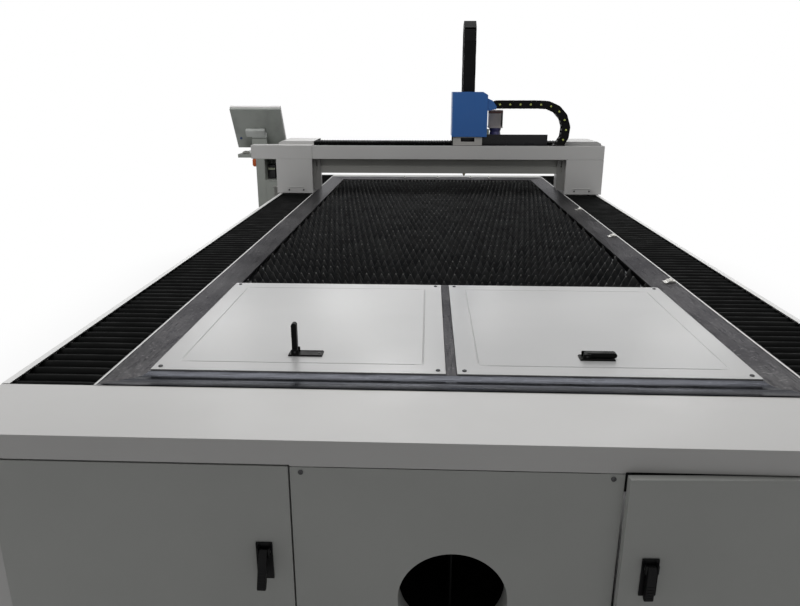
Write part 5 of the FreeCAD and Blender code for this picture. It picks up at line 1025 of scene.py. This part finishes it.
def ribbed_motor(name, node, body, low, high):
    """A servo motor: a square body on a flange, a coloured band under its lid and dark fins at a side."""
    form, band, fins = Form(), Form(), Form()
    (x0, y0, z0), (x1, y1, z1) = low, high
    flange, bell, cap, ribs = 0.010, 0.022, 0.006, 9
    form.box(low, (x1, y1, z0 + flange))
    form.box((x0 + 0.002, y0 + 0.002, z0 + flange), (x1 - 0.014, y1 - 0.002, z1 - bell))
    form.box((x0 + 0.002, y0 + 0.002, z1 - cap), (x1 - 0.002, y1 - 0.002, z1))
    band.box((x0 + 0.001, y0 + 0.001, z1 - bell), (x1 - 0.001, y1 - 0.001, z1 - cap))
    for k in range(ribs):
        y = y0 + 0.003 + (y1 - y0 - 0.006) * (k + 0.25) / ribs
        fins.box((x1 - 0.016, y, z0 + flange), (x1 - 0.001, y + (y1 - y0) * 0.5 / ribs, z1 - bell))
    form.make(name, MOTOR, body, [node], bevel=0.0012, slot="motor_grey")
    band.make(name + "_band", MOTOR_BAND, body, bevel=0.001, slot="motor_grey")
    fins.make(name + "_fins", MOTOR_DARK, body, bevel=0.0006, steps=1, slot="motor_grey")


def motors():
    """The motors of the carriage and of the gantry's legs, each on its gear case."""
    low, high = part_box("x_motor")
    ribbed_motor("x_motor_body", "x_motor", CARRIAGE, (low.x, low.y, 1.289), high)
    rings = [(0.045, 0), (0.045, 0.010), (0.041, 0.018), (0.035, 0.050), (0.040, 0.062), (0.040, 0.073)]
    gear = Form().turned(rings, (0.390, 1.332, 1.216), sides=40)
    gear.make("x_gear_case", GEAR, CARRIAGE, ["x_motor"], bevel=0.001, slot="head_blue")
    plug = Form().box((0.322, 1.296, 1.228), (0.347, 1.326, 1.282))
    plug.make("x_motor_plug", PLUG, CARRIAGE, bevel=0.002, slot="motor_grey")
    rings = [(0.040, 0), (0.040, 0.012), (0.036, 0.016), (0.036, 0.060)]
    for middle, word in ((1.035, "right"), (-1.035, "left")):
        low, high = (middle - 0.043, 1.448, 0.880), (middle + 0.043, 1.534, 1.030)
        ribbed_motor(f"y_motor_body_{word}", "y_motors", GANTRY, low, high)
        case = Form().turned(rings, (middle, 1.491, 0.820), sides=32)
        case.make(f"y_gear_case_{word}", GEAR, GANTRY, ["y_motors"], bevel=0.001, slot="motor_grey")


motors()


def blue_cover():
    """The blue sheet cover, its top open for the chain, and the chain's bracket at its right."""
    low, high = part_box("head_cover")
    wall, right, slope_x, slope_z = 0.002, 0.322, 0.290, 1.507
    slot_y, slot_left, slot_right = 1.335, 0.150, 0.262
    behind, under = low.y + wall, high.z - wall
    form = Form()
    front = [(low.x, low.z), (right, low.z), (right, slope_z), (slope_x, high.z), (low.x, high.z)]
    form.slab(front, low.y, wall)
    form.box((low.x, behind, low.z), (low.x + wall, high.y, high.z))
    form.box((right - wall, behind, low.z), (right, high.y, slope_z))
    form.box((low.x + wall, behind, under), (slope_x, slot_y, high.z))
    form.box((low.x + wall, slot_y, under), (slot_left, high.y, high.z))
    form.box((slot_right, slot_y, under), (slope_x, high.y, high.z))
    slope = [(slope_x, under), (right, slope_z - wall), (right, slope_z), (slope_x, high.z)]
    form.slab(slope, behind, high.y - low.y - wall)
    form.box((low.x, low.y - 0.0012, low.z), (right, low.y, low.z + 0.014))
    form.make("head_hood", BLUE, CARRIAGE, ["head_cover"], bevel=0.0012, slot="head_blue")
    arm = [(right, 1.485), (0.354, 1.471), (0.382, 1.432), (0.378, 1.4155), (right, 1.406)]
    near, far, plate = low.y + 0.006, 1.270, 0.003
    top = arm[:3] + [(x - 0.002, z - 0.003) for x, z in arm[2::-1]]
    bracket = Form().slab(arm, near, plate).slab(arm, far, plate)
    bracket.slab(top, near + plate, far - near - plate)
    bracket.make("chain_bracket", BLUE, CARRIAGE, bevel=0.001, slot="head_blue")


blue_cover()


def cutting_head():
    """The head: collimator tube, focusing block with its knob and windows, neck, ceramic and nozzle."""
    x, y, half, tip = 0.195, 1.555, 0.042, 0.934
    body = Form().box((x - half, y - half, 1.040), (x + half, y + half, 1.200))
    body.turned([(0.026, 0), (0.026, 0.080), (0.022, 0.086), (0.022, 0.090)], (x, y, 1.200), sides=32)
    body.turned([(0.022, 0), (0.030, 0.030)], (x, y, 1.010), sides=32)
    body.make("head_block", ALUMINIUM, HEAD, ["laser_head"], bevel=0.002, slot="head_aluminium")
    dark = Form()
    for low, high in ((1.060, 1.095), (1.150, 1.180)):
        dark.box((x - 0.030, y + 0.040, low), (x + 0.030, y + 0.0435, high))
    for z in (1.212, 1.228, 1.262):
        dark.turned([(0.0268, 0), (0.0268, 0.004)], (x, y, z), sides=32)
    dark.make("head_windows", MOTOR_DARK, HEAD, bevel=0.0008, slot="motor_grey")
    knob = Form().turned([(0.011, 0), (0.011, 0.010), (0.009, 0.012)], (x + half, y, 1.120), (1, 0, 0), 24)
    for k in range(4):
        knob.turned([(0.003, 0), (0.003, 0.002)], (x - 0.034 + 0.0227 * k, y + half, 1.106), (0, 1, 0), 12)
    knob.make("head_knob", BLACKENED, HEAD, slot="black_oxide")
    collar = Form().turned([(0.020, 0.040), (0.020, 0.076)], (x, y, tip), sides=36)
    collar.make("head_ceramic", CERAMIC, HEAD, ["nozzle"], bevel=0.001, slot="nozzle_brass")
    rings = [(0.0020, 0), (0.0042, 0), (0.013, 0.021), (0.013, 0.034), (0.0195, 0.040)]
    nozzle = Form().turned(rings, (x, y, tip), sides=36)
    nozzle.make("head_nozzle", BRASS, HEAD, ["nozzle"], bevel=0.0004, slot="nozzle_brass")


cutting_head()

# ---------------------------------------------------------------- console


def monitor():
    """The tilted monitor: pale frame, darker back with a box and a barrel hinge, and a dark screen."""
    tilt = math.radians(32)
    place = Matrix.Translation((-1.424, 2.030, 1.190)) @ Matrix.Rotation(tilt, 4, "X")
    shared = {"body": "body_monitor", "slot": "monitor_plastic", "moved": place}
    back = Form().box(mm(-198, 7, -124), mm(198, 38, 238))
    back.make("monitor_back", MONITOR_BACK, stands_for=["monitor"], bevel=0.004, steps=3, **shared)
    box = Form().box(mm(-104, -24, 0), mm(53, 8, 64))
    box.turned([(0.024, -0.060), (0.024, 0.060)], (0, 0, 0), (1, 0, 0), 28)
    box.make("monitor_arm_box", MONITOR_BOX, bevel=0.008, steps=4, **shared)
    left, low, right, high, edge = -0.200, -0.127, 0.200, 0.241, 0.018
    rim = Form()
    for x0, z0, x1, z1 in (
        (left, low, right, low + edge),
        (left, high - edge, right, high),
        (left, low + edge, left + edge, high - edge),
        (right - edge, low + edge, right, high - edge),
    ):
        rim.box((x0, 0.030, z0), (x1, 0.053, z1))
    rim.make("monitor_frame", BEZEL, bevel=0.003, steps=3, **shared)
    glass = Form().box((left + edge, 0.038, low + edge), (right - edge, 0.0495, high - edge))
    glass.make("monitor_screen", SCREEN, **shared)
    rings = [(0.010, 0), (0.010, 0.004), (0.007, 0.006)]
    port = Form().turned(rings, (-0.158, 0.0075, -0.030), (0, -1, 0), 20)
    port.make("monitor_socket", SOCKET, **shared)


def keyboard_and_mouse():
    """The keyboard with five rows of keys, and the domed mouse in front of it."""
    low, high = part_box("keyboard_and_mouse")
    left, front = -1.500, high.y - 0.130
    keys = Form().box((left, front, 1.050), (-1.280, high.y, 1.064))
    keys.make("keyboard_base", KEYS, BED, ["keyboard_and_mouse"], bevel=0.003, slot="key_plastic")
    caps = Form()
    for row in range(5):
        for column in range(13):
            x, y = left + 0.009 + column * 0.0156, front + 0.012 + row * 0.0215
            caps.box((x, y, 1.063), (x + 0.0132, y + 0.0182, 1.0695))
    caps.make("keyboard_caps", KEY_TOP, BED, bevel=0.0015, slot="key_plastic")
    rows = []
    for share in (i / 12 for i in range(13)):
        lift = 0.021 * math.sin(math.pi * min(max(share, 0.02), 0.98)) ** 0.6
        wide = 0.030 * (0.72 + 0.28 * math.sin(math.pi * share))
        arc = [math.pi * k / 12 for k in range(13)]
        rows.append([
            (-1.538 + wide * math.cos(turn), low.y + 0.100 * share, 1.0505 + lift * math.sin(turn) ** 0.8)
            for turn in arc
        ])
    Form().sheet(rows).make("mouse_shell", MOUSE, BED, smooth=60, slot="key_plastic")


def hand_remote():
    """The remote hanging on the console, with its hook and six keys."""
    low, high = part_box("hand_remote")
    middle = (low.x + high.x) / 2
    remote = Form().box(low, (high.x, high.y, 1.016))
    remote.make("remote_case", ORANGE, BED, ["hand_remote"], bevel=0.016, steps=5, slot="remote_orange")
    hook = Form().box((middle - 0.006, 1.976, 1.014), (middle + 0.006, 1.988, 1.022))
    hook.make("remote_hook", BLACKENED, BED, slot="black_oxide")
    pads, x = Form(), high.x - 0.001
    for row in range(3):
        for column in range(2):
            y, z = low.y + 0.018 + column * 0.0145, low.z + 0.018 + row * 0.014
            pads.box((x, y, z), (x + 0.0012, y + 0.010, z + 0.009))
    pads.make("remote_keys", KEYS, BED, bevel=0.001, slot="key_plastic")


def stop_button():
    """The red stop button on its yellow ring."""
    at = (-1.220, 2.280, 1.050)
    rings = [(0.009, -0.022), (0.009, 0.011), (0.0155, 0.0115), (0.020, 0.013), (0.020, 0.017)]
    cap = Form().turned(rings + [(0.017, 0.0225), (0.010, 0.024)], at, sides=36)
    cap.make("stop_button_cap", RED, "body_emergency_stop", ["emergency_stop"], slot="stop_red")
    collar = Form().turned([(0.026, 0), (0.026, 0.0015), (0.012, 0.002)], at, sides=36)
    collar.make("stop_button_ring", YELLOW, BED, slot="stop_red")


def bay_modules():
    """The modules in the console's open bay: two drivers with their terminals, and a block of relays."""
    back, foot = 2.119, 0.856
    case = Form().box((-1.360, 1.995, foot), (-1.306, back, 0.960))
    case.box((-1.290, 2.010, foot), (-1.250, back, 0.960))
    boards = Form().box((-1.245, 2.040, foot), (-1.206, back, 0.975))
    plugs = Form()
    for k in range(5):
        plugs.box((-1.356 + k * 0.011, 1.977, 0.925), (-1.349 + k * 0.011, 1.985, 0.940))
        plugs.box((-1.286 + k * 0.007, 2.003, 0.900), (-1.2815 + k * 0.007, 2.010, 0.912))
    case.make("bay_drivers", MOTOR_DARK, BED, bevel=0.002, slot="motor_grey")
    boards.make("bay_relays", BOARD, BED, bevel=0.002, slot="motor_grey")
    plugs.make("bay_terminals", PLUG, BED, slot="motor_grey")


monitor()
keyboard_and_mouse()
hand_remote()
stop_button()
bay_modules()

# ---------------------------------------------------------------- floor, light and camera


def floor():
    """A pale floor that keeps the object's shadow and goes over into the white backdrop farther out."""
    look = Look("floor_pale", Base_Color=(0.82, 0.82, 0.82), Roughness=0.9, Specular_IOR_Level=0.0)
    look.bump(look.noise(30, 3), 0.0002, 0.1)
    squares = []
    for axis, edge in zip(look.axes(), (1.2, 2.3)):
        past = look.math("MAXIMUM", look.math("SUBTRACT", look.math("ABSOLUTE", axis), edge), 0.0)
        squares.append(look.math("POWER", past, 2.0))
    away = look.math("SQRT", look.math("ADD", *squares))
    lift = 0.6
    backdrop = look.times(look.ramp(away, 0.0, 0.5), look.ramp(away, 0.05, 1.8, lift, 1.0))
    white = look.node("ShaderNodeEmission")
    share = look.times(look.seen_directly(), backdrop)
    look.link(look.either(share, look.shader.outputs[0], white.outputs[0]), look.out.inputs["Surface"])
    Form().sheet([[(-60, y, 0), (60, y, 0)] for y in (-60, 90)]).make("floor", look.material)


def lamp(name, at, aim, width, depth, power):
    """A white rectangular lamp at a place, aimed at another."""
    data = bpy.data.lights.new(name, "AREA")
    data.shape = "RECTANGLE"
    data.size, data.size_y = width, depth
    data.energy = power
    lamp_object = bpy.data.objects.new(name, data)
    lamp_object.location = at
    lamp_object.rotation_euler = (Vector(aim) - Vector(at)).to_track_quat("-Z", "Y").to_euler()
    bpy.context.scene.collection.objects.link(lamp_object)


def world(fill):
    """White where the camera sees or mirrors it, and a plain grey for everything else."""
    sky = bpy.data.worlds.new("studio")
    bpy.context.scene.world = sky
    nodes = Nodes(sky)
    kind = "ShaderNodeBackground"
    grey, white = (nodes.node(kind, Color=(1, 1, 1), Strength=power).outputs[0] for power in (fill, 1))
    out = nodes.node("ShaderNodeOutputWorld")
    nodes.link(nodes.either(nodes.seen_directly(), grey, white), out.inputs["Surface"])


def camera():
    """The camera solved from the photo's edges; its focal length is in the photo's pixels."""
    yaw, pitch = math.radians(2.40), math.radians(17.33)
    sensor, focal, photo_wide = 36, 680.1, 800
    ahead = Vector((-math.sin(yaw) * math.cos(pitch), math.cos(yaw) * math.cos(pitch), -math.sin(pitch)))
    right = Vector((math.cos(yaw), math.sin(yaw), 0))
    turn = Matrix((right, right.cross(ahead), -ahead)).transposed().to_4x4()
    data = bpy.data.cameras.new("camera")
    data.sensor_width = sensor
    data.lens = focal / photo_wide * sensor
    data.clip_start, data.clip_end = 0.05, 200
    eye = bpy.data.objects.new("camera", data)
    eye.matrix_world = Matrix.Translation((-0.063, -3.534, 1.533)) @ turn
    bpy.context.scene.collection.objects.link(eye)
    bpy.context.scene.camera = eye


floor()
world(0.12)
lamp("overhead_front", (0, -0.9, 4.6), (0, -0.7, 0), 5.0, 3.0, 112)
lamp("overhead_back", (0, 3.6, 5.2), (0, 1.5, 0.8), 6.0, 3.5, 94)
lamp("side_left", (-4.6, -1.5, 3.2), (0, -0.5, 0.8), 3.0, 2.0, 26)
lamp("front_fill", (0.4, -6.0, 2.6), (0, -2.3, 0.6), 4.0, 2.0, 7)
for number, (x, y) in enumerate(((-3.7, 7.6), (-0.5, 6.0), (-1.9, 9.8), (0.9, 9.8), (3.7, 6.0))):
    lamp(f"ceiling_{number + 1}", (x, y, 4.2), (x, y, 0), 1.0, 0.7, 20)
camera()
bpy.context.scene.view_settings.view_transform = "Standard"

bpy.context.view_layer.update()
